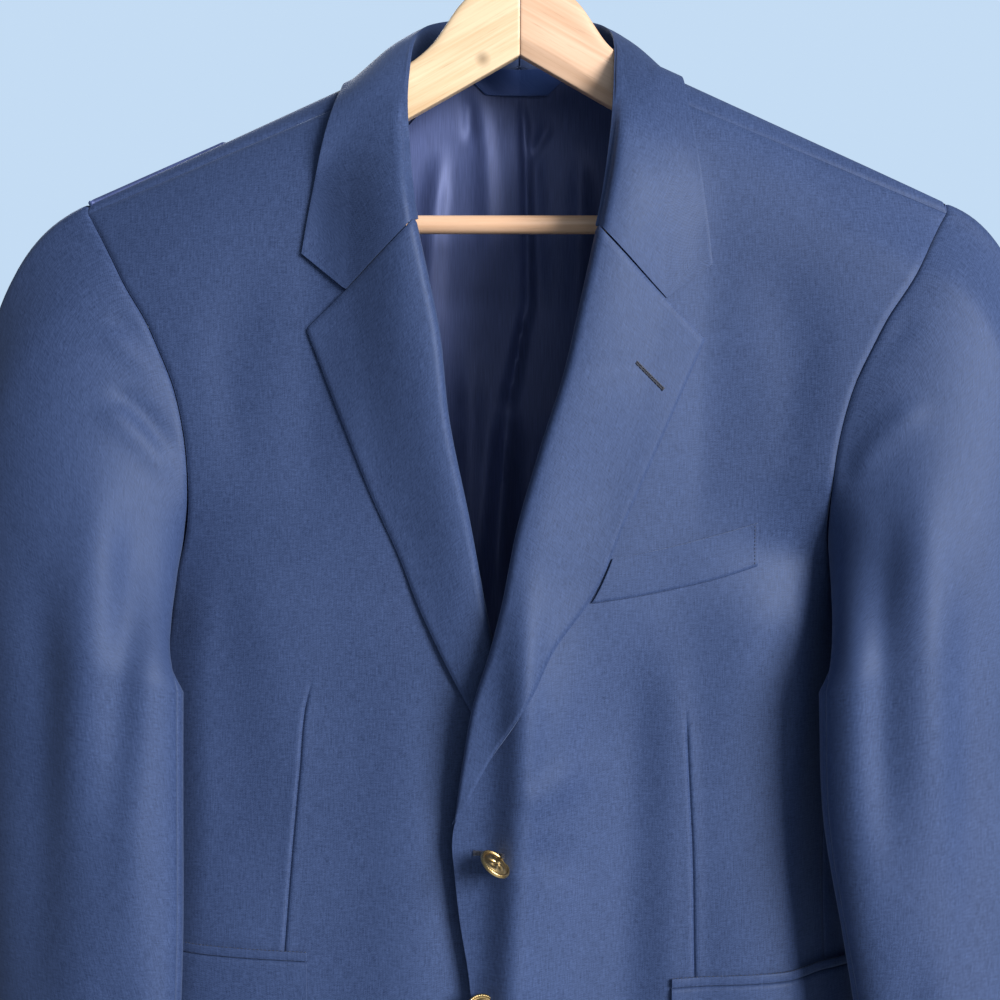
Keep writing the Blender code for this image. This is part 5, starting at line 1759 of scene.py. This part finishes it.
@dataclass
class HipPocket:
    """A hip pocket: a narrow jet above its mouth and a flap with round corners under it."""

    body: BodyPanels
    cloth: Cloth
    thread: Material
    side: Side
    inner_x: float
    mouth: Pair
    length: float = 152.0
    flap_depth: float = 54.0
    jet_width: float = 5.6
    corner: float = 14.0

    def level_lines(self, z: Array) -> Array:
        """Level sections of the side from the pocket's inner end round to the back seam.

        Args:
            z: Their heights.

        Returns:
            Points in rows.
        """
        column = np.asarray(z, float)[:, None]
        outer = self.body.outer_front(self.side, column)
        x = self.inner_x + (outer - self.inner_x) * np.linspace(0, 1, 60)
        y = self.body.surface(self.side, x, column + 0 * x)
        front = np.stack([x, y, column + 0 * x], axis=-1)
        return np.concatenate([front, self.body.level_arc(self.side, z, 60)[:, 1:]], axis=1)

    def grid(self, lengths: Array, down: Array) -> Array:
        """Points of a pocket piece.

        Args:
            lengths: Distance of each column from the pocket's inner end.
            down: Distance of each point below the mouth, in rows and columns.

        Returns:
            The points, on the body's surface.
        """
        mouth = self.mouth[0] + (self.mouth[1] - self.mouth[0]) * lengths / self.length
        z = mouth[None] - down
        levels = np.linspace(z.min(), z.max(), 40)
        lines = self.level_lines(levels)
        run = run_along(lines)
        table = np.stack([[np.interp(lengths, run[level], lines[level, :, axis]) for axis in (0, 1)]
                          for level in range(len(levels))])
        place = (z - levels[0]) / (levels[-1] - levels[0]) * (len(levels) - 1)
        low = np.clip(place.astype(int), 0, len(levels) - 2)
        mix = place - low
        column = np.arange(len(lengths))[None]
        x = table[low, 0, column] * (1 - mix) + table[low + 1, 0, column] * mix
        y = table[low, 1, column] * (1 - mix) + table[low + 1, 1, column] * mix
        return np.stack([x, y, z], axis=-1)

    def build(self) -> None:
        """Makes the jet, the flap and the stitches in the jet's groove."""
        out, word = self.side.value, self.side.word
        lengths = self.length * edged(96, 0.01)
        across = np.linspace(0, 1, 13)[:, None]
        jet = self.grid(lengths, across * self.jet_width - self.jet_width - 0.3 + 0 * lengths)
        round_top = 1.9 + 0.55 * np.sqrt(np.clip(1 - (2 * across - 1) ** 2, 0, 1)) + 0 * lengths
        jet = jet + grid_normals(jet) * (out * round_top)[..., None]
        strip = self.cloth.shell(f"pocket_jet_{word}_cloth", jet, out)
        seat(strip, "navy_wool", f"pocket_jet_{word}")
        corner = np.minimum(lengths, self.length - lengths)
        inside = np.clip(self.corner - corner, 0, None)
        lift = self.corner - np.sqrt(np.clip(self.corner**2 - inside**2, 0, None))
        down = edged(26, 0.05)[:, None] * (self.flap_depth - lift)[None] + 0.3
        flap = self.grid(lengths, down)
        share = down / self.flap_depth
        middle = np.sin(math.pi * lengths / self.length)[None]
        swell = 2.4 + 0.5 * np.sin(math.pi * share) + 1.3 * share**2 * middle**2
        flap = flap + grid_normals(flap) * (out * swell)[..., None]
        flap = seamed(flap, out, (Border.TOP,), 0.9, 1.6)
        self.cloth.sewn(f"pocket_flap_{word}", "navy_wool", flap, out, [f"front_{word}_cloth"])
        stitches = Bundle()
        groove = (jet + grid_normals(jet) * out * 0.1)[0]
        stitch_line(stitches, groove, 2.4, 1.4, 0.2)
        seat(stitches.piece(f"pocket_stitches_{word}", self.thread), "navy_wool")


@dataclass
class Buttonhole:
    """A worked buttonhole: two rows of thread bars along a slit, with a bar across its end.

    Attributes:
        start: Its round end in the front view.
        end: Its barred end.
        face: Points of its cloth's outer face.
        width: Reach of each row of bars.
    """

    name: str
    start: Pair
    end: Pair
    face: Array
    thread: Material
    width: float = 1.25

    def height(self, x: Array, z: Array) -> Array:
        """Y of the cloth, from the points of its outer face that are nearest."""
        x, z = np.broadcast_arrays(x, z)
        gap = (self.face[:, 0] - x[..., None]) ** 2 + (self.face[:, 2] - z[..., None]) ** 2
        weight = (gap + 0.05) ** -3
        return (weight * self.face[:, 1]).sum(-1) / weight.sum(-1)

    def build(self) -> None:
        """Makes its thread bars along both sides and across its barred end."""
        start, end = np.array(self.start), np.array(self.end)
        length = float(np.linalg.norm(end - start))
        way = (end - start) / length
        side_way = np.array([-way[1], way[0]])
        bars = Bundle()
        for at in np.arange(0.3, length, 0.52):
            for side in (-1, 1):
                reach = np.array([0.12, 0.55, 1.0]) * self.width * side
                flat = start + way * at + reach[:, None] * side_way
                y = self.height(flat[:, 0], flat[:, 1]) - np.array([0.2, 0.5, 0.1])
                bars.tube(np.column_stack([flat[:, 0], y, flat[:, 1]]), 0.27, 6)
        for at in (length + 0.2, length + 0.75):
            flat = start + way * at + np.linspace(-1.15, 1.15, 5)[:, None] * self.width * side_way
            y = self.height(flat[:, 0], flat[:, 1]) - np.array([0.1, 0.5, 0.6, 0.5, 0.1])
            bars.tube(np.column_stack([flat[:, 0], y, flat[:, 1]]), 0.32, 6)
        seat(bars.piece(self.name, self.thread), "navy_wool")


# ---- lining and label
@dataclass
class BackLining:
    """The satin lining of the back, drawn into soft upright folds, and the bare label at its neck."""

    body: BodyPanels
    satin: Cloth
    label: Cloth
    thread: Material
    clear: float = 4.0
    outline: Table = Table("z", {
        "z": [-124, -150, -185, -225, -275, -335, -400, -476, -560, -650, -740, -830, -905],
        "half": [36, 60, 92, 126, 168, 206, 214, 216, 208, 200, 204, 209, 212],
    })
    label_top: float = -124.5
    label_bottom: float = -141.5
    label_half: Pair = (32.0, 20.5)
    label_middle: float = -1.5
    label_before: float = 1.6

    def y(self, x: Array, z: Array) -> Array:
        """The lining's face towards the wearer, before its folds."""
        return self.body.form.back_y(x, z) - CLOTH - self.clear

    def build(self) -> None:
        """Makes the lining and the label."""
        rows = finer(self.outline.columns["z"], 170)[:, None]
        half = self.outline("half", rows)
        x = self.body.form.sway(rows) + half * np.linspace(-1, 1, 161)[None]
        z = rows + 0 * x
        calm = smooth((half - np.abs(x - self.body.form.sway(rows))) / 16) * smooth((-126 - z) / 16)
        folds = 1.25 * crease_heights(LINING_FOLDS, x, z) + unevenness(x * 1.6, z, 1.0, 3.1)
        grid = np.stack([x, self.y(x, z) - np.maximum(folds, -2.6) * calm, z], axis=-1)
        rests_on, flat = ["back_left_cloth", "back_right_cloth"], np.stack([x, -z], axis=-1)
        self.satin.sewn("lining_back", "navy_satin", grid, 1, rests_on, uv=flat)
        down = edged(14, 0.06)[:, None]
        top, bottom = self.label_half
        half = top + (bottom - top) * np.clip((down - 0.4) / 0.6, 0, 1)
        x = self.label_middle + half * np.linspace(-1, 1, 61)[None]
        z = self.label_top + (self.label_bottom - self.label_top) * down + 0 * x
        swell = 0.3 * np.sin(math.pi * down) + 0 * x
        label = np.stack([x, self.y(x, z) - self.label_before - swell, z], axis=-1)
        self.label.sewn("neck_label", "label_satin", label, 1, ["lining_back_cloth"])
        row = Bundle()
        border = np.vstack([label[2:, 2], label[-3, 3:-3], label[2:, -3][::-1]]) - [0, 0.1, 0]
        stitch_line(row, border, 1.9, 1.1, 0.14)
        seat(row.piece("label_stitches", self.thread), "label_satin")


LINING_FOLDS: list[Crease] = creases(
    (2, -138, 6, -300, 3.4, 2.6, 3.4, 1.5, 0.2, 0.2),
    (9, -140, 14, -300, -1.6, 5, 7, 0, 0.2, 0.3),
    (24, -156, 5, -192, 2.2, 3.2, 4.5, -2, 0.3, 0.4),
    (-34, -138, -31, -176, -1.8, 4, 5, 0, 0.3, 0.4),
    (-26, -140, -20, -260, 2.0, 5, 8, 2, 0.25, 0.4),
    (-50, -170, -60, -330, 3.2, 6, 10, -4, 0.25, 0.4),
    (40, -170, 34, -330, 2.4, 6, 9, 3, 0.25, 0.4),
    (5, -276, -9, -352, 4.2, 2.4, 4.0, 1, 0.25, 0.2),
    (-6, -340, -16, -500, 8.5, 6.0, 9.0, -1.5, 0.22, 0.3),
    (8, -350, 2, -500, -2.0, 7, 10, 0, 0.3, 0.3),
    (-34, -300, -36, -480, 3.0, 8, 11, 2, 0.3, 0.4),
    (28, -330, 16, -500, 3.2, 7, 10, 2, 0.3, 0.4),
    (-90, -330, -96, -700, 4.0, 14, 20, 4, 0.3, 0.4),
    (84, -330, 92, -700, 4.0, 14, 20, -4, 0.3, 0.4),
    (-20, -520, -24, -880, 5.0, 10, 16, 2, 0.3, 0.3),
    (50, -520, 56, -880, 3.6, 14, 20, -3, 0.3, 0.3),
    (-140, -480, -150, -880, 3.4, 16, 22, 4, 0.3, 0.3),
    (140, -480, 150, -880, 3.4, 16, 22, -4, 0.3, 0.3),
)


# ---- buttons
@dataclass
class TurnedButton:
    """A pressed brass button: a domed face with a roped rim, a rolled edge, a flat back and a shank.

    Attributes:
        profile: Radius and height of its outline from the middle of the face round to the shank.
        rope: Radius, half width and height of the roped ring.
        turns: Bumps of the rope.
        relief: Height of the worn pattern on the dome.
        steps: Points round it.
    """

    profile: list[Pair]
    rope: Triple
    turns: int
    relief: float
    brass: Material
    steps: int = 144

    def build(self, name: str, place: Array, facing: Array) -> None:
        """Makes one button.

        Args:
            name: The node that it stands for.
            place: Its middle.
            facing: Way that its face looks.
        """
        outline = self.round_outline()
        turn = np.linspace(0, TAU, self.steps, endpoint=False)
        radius = np.maximum(outline[:, :1], 0.01) + 0 * turn
        height = outline[:, 1:] + 0 * turn
        face = smooth((outline[:, 1:] + 0.2) / 0.6)
        ring, half, rise = self.rope
        swirl = np.cos(self.turns * turn[None] + (radius - ring) * 3.0)
        rope = np.clip(1 - ((radius - ring) / half) ** 2, 0, 1) * (0.6 + 0.4 * swirl) * rise
        dome = smooth((ring - half - radius) / (0.12 * ring))
        share = radius / ring
        pattern = (np.sin(6 * turn + 2.2 * share) * np.sin(math.pi * np.clip(share * 1.5, 0, 1))
                   + 0.6 * np.cos(3 * turn + 11 * share) * np.sin(2 * math.pi * np.clip(share, 0, 1)))
        bumps = self.relief * pattern * dome
        height = height + (rope + bumps) * face
        raised = 0.5 * (rope / rise * 2 - 1) * (rope > 0)
        hollow = np.clip(0.5 - raised - 0.35 * pattern * dome, 0, 1)
        axis = unit(np.asarray(facing, float))
        first = unit(np.cross(axis, [0.1, 0.2, 1.0]))
        second = np.cross(axis, first)
        points = (np.asarray(place) + radius[..., None] * (np.cos(turn)[None, :, None] * first
                                                           + np.sin(turn)[None, :, None] * second)
                  + height[..., None] * axis)
        piece = make_piece(name + "_brass", points, grid_faces(*radius.shape, True), (self.brass,))
        shade = piece.data.attributes.new("hollow", "FLOAT", "POINT")
        shade.data.foreach_set("value", hollow.ravel().astype(np.float32))
        face_outwards(piece, True)
        seat(piece, "brass", name)

    def round_outline(self) -> Array:
        """The outline with its corners drawn round, evenly spaced."""
        corners = np.array(self.profile, float)
        for _ in range(2):
            first = corners[:-1] * 0.75 + corners[1:] * 0.25
            second = corners[:-1] * 0.25 + corners[1:] * 0.75
            cut = np.stack([first, second], axis=1).reshape(-1, 2)
            corners = np.vstack([corners[:1], cut, corners[-1:]])
        return even_line(corners, 96)


@dataclass(frozen=True)
class FrontButton:
    """Where a front button hangs, and how its face has tipped."""

    node: str
    x: float
    z: float
    before: float
    tilt: float
    towards: float


FRONT_BUTTONS = (
    FrontButton("button_front_upper", -16.0, -624.0, 11.0, math.radians(70.0), math.radians(52.0)),
    FrontButton("button_front_lower", -23.4, -713.5, 5.0, math.radians(24.0), math.radians(80.0)),
)
FRONT_PROFILE = [
    (0.0, 2.6), (2.6, 2.5), (5.2, 2.1), (7.4, 1.45), (8.1, 1.2), (8.7, 1.75), (9.5, 1.9), (10.1, 1.5),
    (10.3, 0.7), (9.9, -0.2), (8.6, -0.9), (3.0, -1.1), (2.1, -1.6), (2.0, -3.4), (0.4, -3.4),
]
CUFF_PROFILE = [
    (0.0, 1.5), (4.8, 1.3), (6.2, 1.6), (7.5, 0.9), (7.2, -0.2), (1.9, -0.4), (1.8, -1.2), (0.3, -1.2),
]


@dataclass
class Buttons:
    """The two front buttons with their thread, and the four on each cuff."""

    body: BodyPanels
    sleeves: Sleeves
    brass: Material
    thread: Material
    first: float = 34.0
    pitch: float = 16.0
    column: float = 19.8
    columns: int = 26

    def build(self) -> None:
        """Makes all the buttons."""
        large = TurnedButton(FRONT_PROFILE, (9.3, 0.75, 0.4), 44, 0.34, self.brass)
        small = TurnedButton(CUFF_PROFILE, (6.4, 0.6, 0.25), 16, 0.16, self.brass, 64)
        shanks = Bundle()
        for spot in FRONT_BUTTONS:
            surface = float(self.body.surface(Side.LEFT, np.array([[spot.x]]), np.array([[spot.z]]))[0, 0])
            place = np.array([spot.x, surface - spot.before, spot.z])
            facing = np.array([math.sin(spot.tilt) * math.cos(spot.towards), -math.cos(spot.tilt),
                               math.sin(spot.tilt) * math.sin(spot.towards)])
            large.build(spot.node, place, facing)
            foot = place - facing * 3.2
            root = np.array([foot[0], surface + 0.4, foot[2]])
            for turn in range(4):
                bow = 0.5 * np.array([math.cos(TAU * turn / 4), 0, math.sin(TAU * turn / 4)])
                last = root + bow * 1.6
                shanks.tube(bezier(foot + bow, foot - facing + bow, last - [0, 1, 0], last, 9), 0.42, 8)
        seat(shanks.piece("button_shanks", self.thread), "brass")
        for side in Side:
            for number in range(4):
                z = self.sleeves.cuff_z + self.first + self.pitch * number
                turn = int(round(self.column / self.columns * self.sleeves.count))
                ring, above = self.sleeves.ring(side, z)[0], self.sleeves.ring(side, z + 5)[0]
                across = ring[turn + 3] - ring[turn - 3]
                facing = unit(np.cross(above[turn] - ring[turn], across) * side.value)
                small.build(f"button_cuff_{side.word}_{number + 1}", ring[turn] + facing * 1.6, facing)


# ---- hanger
@dataclass
class Hanger:
    """A wooden suit hanger: two contoured arms, a round bar, a ferrule and a wire hook."""

    left_wood: Material
    right_wood: Material
    bar_wood: Material
    steel: Material
    apex_z: float = -128.8
    slope: float = 0.572
    end_x: float = 222.0
    corner: float = 0.42
    round_corner: float = 0.68
    chamfer: float = 1.38
    top: Table = Table("x", {
        "x": [0.15, 12, 22, 32, 40, 47, 53, 60, 68, 90, 112, 150, 190, 214, 222],
        "z": [-78.0, -79.0, -83.5, -91.0, -99.5, -110.0, -119.0, -126.5, -133.0, -144.2, -155.3, -173.8,
              -193.8, -206.5, -220.0],
    })
    form: Table = Table("x", {
        "x": [0, 60, 110, 160, 222],
        "middle_y": [4.0, 4.0, 0.0, -5.0, -12.0],
        "half_depth": [7.5, 7.5, 9.0, 12.5, 14.0],
    })
    bar_radius: float = 5.8
    bar_z: float = -238.0
    bar_y: float = -10.0
    bar_end_gap: float = 0.8
    wire: float = 1.9
    hook_inner: float = 19.0
    ferrule_radius: float = 6.0
    ferrule_height: float = 5.0

    def underside(self, x: Array) -> Array:
        """Height of an arm's underside: straight down from the apex, turning up under its rounded end."""
        turned = np.clip((x - 196) / (self.end_x - 196), 0, 1)
        return self.apex_z - self.slope * x + 16 * turned**3

    def arm(self, side: Side) -> None:
        """Makes one arm, a rounded section carried outwards, with a chamfer along its lower front edge.

        Args:
            side: The wearer's side.
        """
        end = self.end_x - 6 * (1 - np.linspace(0, 1, 12)[1:])
        x = np.concatenate([np.linspace(0.15, self.end_x - 6, 120), end])
        turn = turns(72)
        corner = self.corner + (self.round_corner - self.corner) * smooth((x - 85) / 40)[:, None]
        across = np.sign(np.cos(turn)) * np.abs(np.cos(turn)) ** corner
        upright = np.sign(np.sin(turn)) * np.abs(np.sin(turn)) ** corner
        cut = np.maximum(-0.8 * across - upright - self.chamfer, 0) / 1.8
        across, upright = across + cut, upright + cut
        top, bottom = self.top("z", x)[:, None], self.underside(x)[:, None]
        half = (self.form("half_depth", x) * (1 - 0.35 * smooth((x - 205) / 17)))[:, None]
        soft = np.sqrt(np.clip(1 - np.clip((x - (self.end_x - 6)) / 6.001, 0, 1) ** 2, 0, 1))[:, None]
        middle = (top + bottom) / 2
        y = self.form("middle_y", x)[:, None] + half * across * (0.55 + 0.45 * soft)
        z = middle + (top - bottom) / 2 * upright * (0.55 + 0.45 * soft)
        grid = np.stack([side.value * x[:, None] + 0 * y, y, z], axis=-1)
        wood = self.left_wood if side is Side.LEFT else self.right_wood
        self.closed(f"hanger_arm_{side.word}", grid, wood, "pale_wood")

    def closed(self, node: str, grid: Array, material: Material, slot: str) -> None:
        """A solid through closed rings with an end face on the first and the last.

        Args:
            node: The node that it stands for.
            grid: The rings.
            material: Its material.
            slot: The record's slot; not used.
        """
        piece = make_piece(f"{node}_piece", grid, grid_faces(*grid.shape[:2], True), (material,))
        face_outwards(piece, True)
        bevel(piece, 0.5, 50)
        seat(piece, slot, node)

    def bar(self) -> None:
        """Makes the round bar, its ends cut to the slope of the arms."""
        turn = turns(48)
        y, z = self.bar_y + self.bar_radius * np.cos(turn), self.bar_z + self.bar_radius * np.sin(turn)
        reach = (self.apex_z - z) / self.slope - self.bar_end_gap
        share = np.linspace(-1, 1, 60)[:, None]
        grid = np.stack([share * reach[None], y[None] + 0 * share, z[None] + 0 * share], axis=-1)
        self.closed("hanger_bar", grid, self.bar_wood, "pale_wood")

    def hook(self) -> None:
        """Makes the ferrule, turned with a rolled foot, and the wire hook above it."""
        base = self.top.end("z") + 0.3
        high, wide = self.ferrule_height, self.ferrule_radius
        outline = np.array([(0.05, 0), (wide, 0), (wide, 0.9), (wide - 0.8, 1.5), (wide - 1.1, high - 0.9),
                            (wide - 1.9, high), (0.05, high)])
        parts = [np.linspace(a, b, 9)[:-1] for a, b in zip(outline, outline[1:])]
        outline = np.vstack(parts + [outline[-1:]])
        turn = turns(64)
        grid = np.stack([outline[:, :1] * np.cos(turn), 1 + outline[:, :1] * np.sin(turn),
                         base + outline[:, 1:] + 0 * turn], axis=-1)
        self.closed("hanger_ferrule", grid, self.steel, "bright_steel")
        radius = self.hook_inner + self.wire
        angles = np.radians(np.linspace(-58, 200, 80))
        high_up = radius * np.sin(angles) - self.hook_inner
        circle = np.column_stack([radius * np.cos(angles), np.full(80, 1.0), high_up])
        start = np.array([0, 1, base + 0.3 + high])
        stem = bezier(start, start + [0, 0, 16], circle[0] - np.array([9, 0, 4.6]), circle[0], 24)
        path = even_line(np.vstack([stem[:-1], circle]), 150)
        thick = self.wire * np.ones(150)
        thick[-6:] = self.wire * np.sqrt(1 - np.linspace(0, 0.92, 6) ** 2)
        wire = Bundle()
        wire.tube(path, thick, 24)
        seat(wire.piece("hanger_hook_wire", self.steel), "bright_steel", "hanger_hook")

    def build(self) -> None:
        """Makes the whole hanger."""
        for side in Side:
            self.arm(side)
        self.bar()
        self.hook()


# ---- studio
@dataclass(frozen=True)
class Lamp:
    """A soft square light.

    Attributes:
        name: What it is for.
        place: Where it stands, in metres.
        aim: Where it points.
        size: Its side.
        watts: Its power.
        colour: Its colour.
    """

    name: str
    place: Triple
    aim: Triple
    size: float
    watts: float
    colour: Triple = (1.0, 1.0, 1.0)

    def light(self) -> None:
        """Puts the light into the scene."""
        data = bpy.data.lights.new(self.name, "AREA")
        data.shape = "SQUARE"
        data.size = self.size
        data.energy = self.watts
        data.color = self.colour
        lamp = bpy.data.objects.new(self.name, data)
        bpy.context.scene.collection.objects.link(lamp)
        lamp.location = self.place
        lamp.rotation_euler = (Vector(self.aim) - Vector(self.place)).to_track_quat("-Z", "Y").to_euler()


@dataclass
class Studio:
    """A pale room: a key light on the wearer's left, a weaker fill, a far floor and a pale blue surround."""

    wall: Triple = (0.553, 0.716, 0.905)
    ambient: float = 0.19
    floor_z: float = -1.75
    floor_radius: float = 1.5
    lamps: tuple[Lamp, ...] = (
        Lamp("key", (3.25, -3.4, 0.85), (0.0, 0.0, -0.45), 2.3, 475.0, (1.0, 0.98, 0.95)),
        Lamp("fill", (0.5, -2.7, 0.45), (0.0, 0.0, -0.45), 1.8, 11.0, (0.94, 0.97, 1.0)),
        Lamp("back", (-0.6, 2.2, 0.6), (0.0, 0.0, -0.45), 1.5, 24.0),
    )

    def surround(self) -> None:
        """Sets the pale blue that shows behind the object and the weaker light that it gives."""
        world = bpy.data.worlds.new("surround")
        world.use_nodes = True
        bpy.context.scene.world = world
        nodes, links = world.node_tree.nodes, world.node_tree.links
        back = nodes["Background"]
        back.inputs["Color"].default_value = (*self.wall, 1.0)
        seen = nodes.new("ShaderNodeLightPath")
        strength = nodes.new("ShaderNodeMapRange")
        strength.inputs["To Min"].default_value = self.ambient
        strength.inputs["To Max"].default_value = 1.0
        links.new(seen.outputs["Is Camera Ray"], strength.inputs["Value"])
        links.new(strength.outputs["Result"], back.inputs["Strength"])

    def floor(self) -> None:
        """Lays a pale round floor well below the hem."""
        turn = turns(96)
        rings = np.linspace(0.01, self.floor_radius / MM, 12)[:, None]
        level = self.floor_z / MM + 0 * rings * turn
        grid = np.stack([rings * np.cos(turn), rings * np.sin(turn), level], axis=-1)
        paint = Paint("pale_floor", Base_Color=(0.62, 0.68, 0.74, 1.0), Specular_IOR_Level=0.3)
        grain = paint.noise(paint.place("Object", (14, 14, 14)), 4.0)
        piece = make_piece("floor", grid, grid_faces(*grid.shape[:2], True),
                           (paint.finish(None, paint.between(grain, 0.3, 0.7, 0.6, 0.8), grain, 0.3),))

    def camera(self) -> None:
        """Stands the camera level before the chest."""
        data = bpy.data.cameras.new("view")
        data.lens = 56.16
        data.sensor_width = 36.0
        camera = bpy.data.objects.new("view", data)
        bpy.context.scene.collection.objects.link(camera)
        camera.location = (-0.0126, -0.985, -0.410)
        camera.rotation_euler = (math.pi / 2, 0.0, 0.0)
        bpy.context.scene.camera = camera

    def build(self) -> None:
        """Sets up the camera, the lights, the surround and the floor."""
        self.camera()
        self.surround()
        self.floor()
        for lamp in self.lamps:
            lamp.light()


# ---- the whole
def main() -> None:
    """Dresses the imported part: cloth, pockets and stitches, lining, buttons, hanger and room."""
    logging.basicConfig(level=logging.INFO, stream=sys.stdout, format="%(message)s")
    bpy.context.scene.view_settings.view_transform = "Standard"
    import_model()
    Studio().build()
    wool = Worsted("navy_worsted").make()
    satin = Satin("navy_lining").make()
    blue_satin = Satin("blue_label_satin", (0.025, 0.055, 0.2), (0.05, 0.1, 0.3), (0.32, 0.45)).make()
    thread = Thread("navy_thread").make()
    label_thread = Thread("blue_thread", (0.02, 0.04, 0.14), (0.04, 0.08, 0.24)).make()
    steel = Metal("hook_steel", (0.78, 0.78, 0.77), (0.5, 0.5, 0.5), (0.16, 0.3)).make()
    brass = Metal("button_brass", (0.90, 0.68, 0.34), (0.32, 0.20, 0.07), (0.2, 0.38), True).make()
    cloth = Cloth(wool, satin)
    body = BodyPanels(FrontCut(HangingForm()), cloth)
    body.build()
    log.info("body panels")
    lapels = Lapels(body, Cloth(wool, wool))
    lapels.build()
    collar = Collar(body, lapels, Cloth(wool, wool))
    collar.build()
    log.info("lapels and collar")
    sleeves = Sleeves(body, cloth)
    sleeves.build()
    log.info("sleeves")
    BreastWelt(body, Cloth(wool, wool, 1.4), thread).build()
    HipPocket(body, Cloth(wool, wool, 1.2), thread, Side.LEFT, 90.3, (-703.0, -696.0)).build()
    HipPocket(body, Cloth(wool, wool, 1.2), thread, Side.RIGHT, -128.9, (-688.4, -681.0)).build()
    log.info("pockets")
    lining, label = Cloth(satin, satin, 1.0, 0.3), Cloth(blue_satin, blue_satin, 0.6, 0.2)
    BackLining(body, lining, label, label_thread).build()
    Buttons(body, sleeves, brass, thread).build()
    lapel, front = lapels.grid(Side.LEFT).reshape(-1, 3), body.front_grid(Side.LEFT).reshape(-1, 3)
    Buttonhole("buttonhole_lapel", (68.2, -328.0), (84.2, -343.5), lapel, thread, 1.0).build()
    for number, (spot, rise) in enumerate(zip(FRONT_BUTTONS, (4.0, 1.0)), 1):
        ends = (spot.x + 6.0, spot.z + rise), (spot.x - 11.6, spot.z + rise)
        Buttonhole(f"buttonhole_front_{number}", *ends, front, thread, 1.4).build()
    log.info("lining, label and buttons")
    Hanger(LacqueredWood("arm_wood_left", math.radians(-29.8), (0.74, 0.50, 0.35), (0.56, 0.33, 0.2)).make(),
           LacqueredWood("arm_wood_right", math.radians(29.8), (0.80, 0.62, 0.42), (0.60, 0.40, 0.22),
                         (-0.0233, -0.0035, -0.1324)).make(),
           LacqueredWood("bar_wood", 0.0, (0.78, 0.52, 0.36), (0.58, 0.34, 0.2)).make(), steel).build()
    log.info("hanger")


if __name__ == "__main__":
    main()
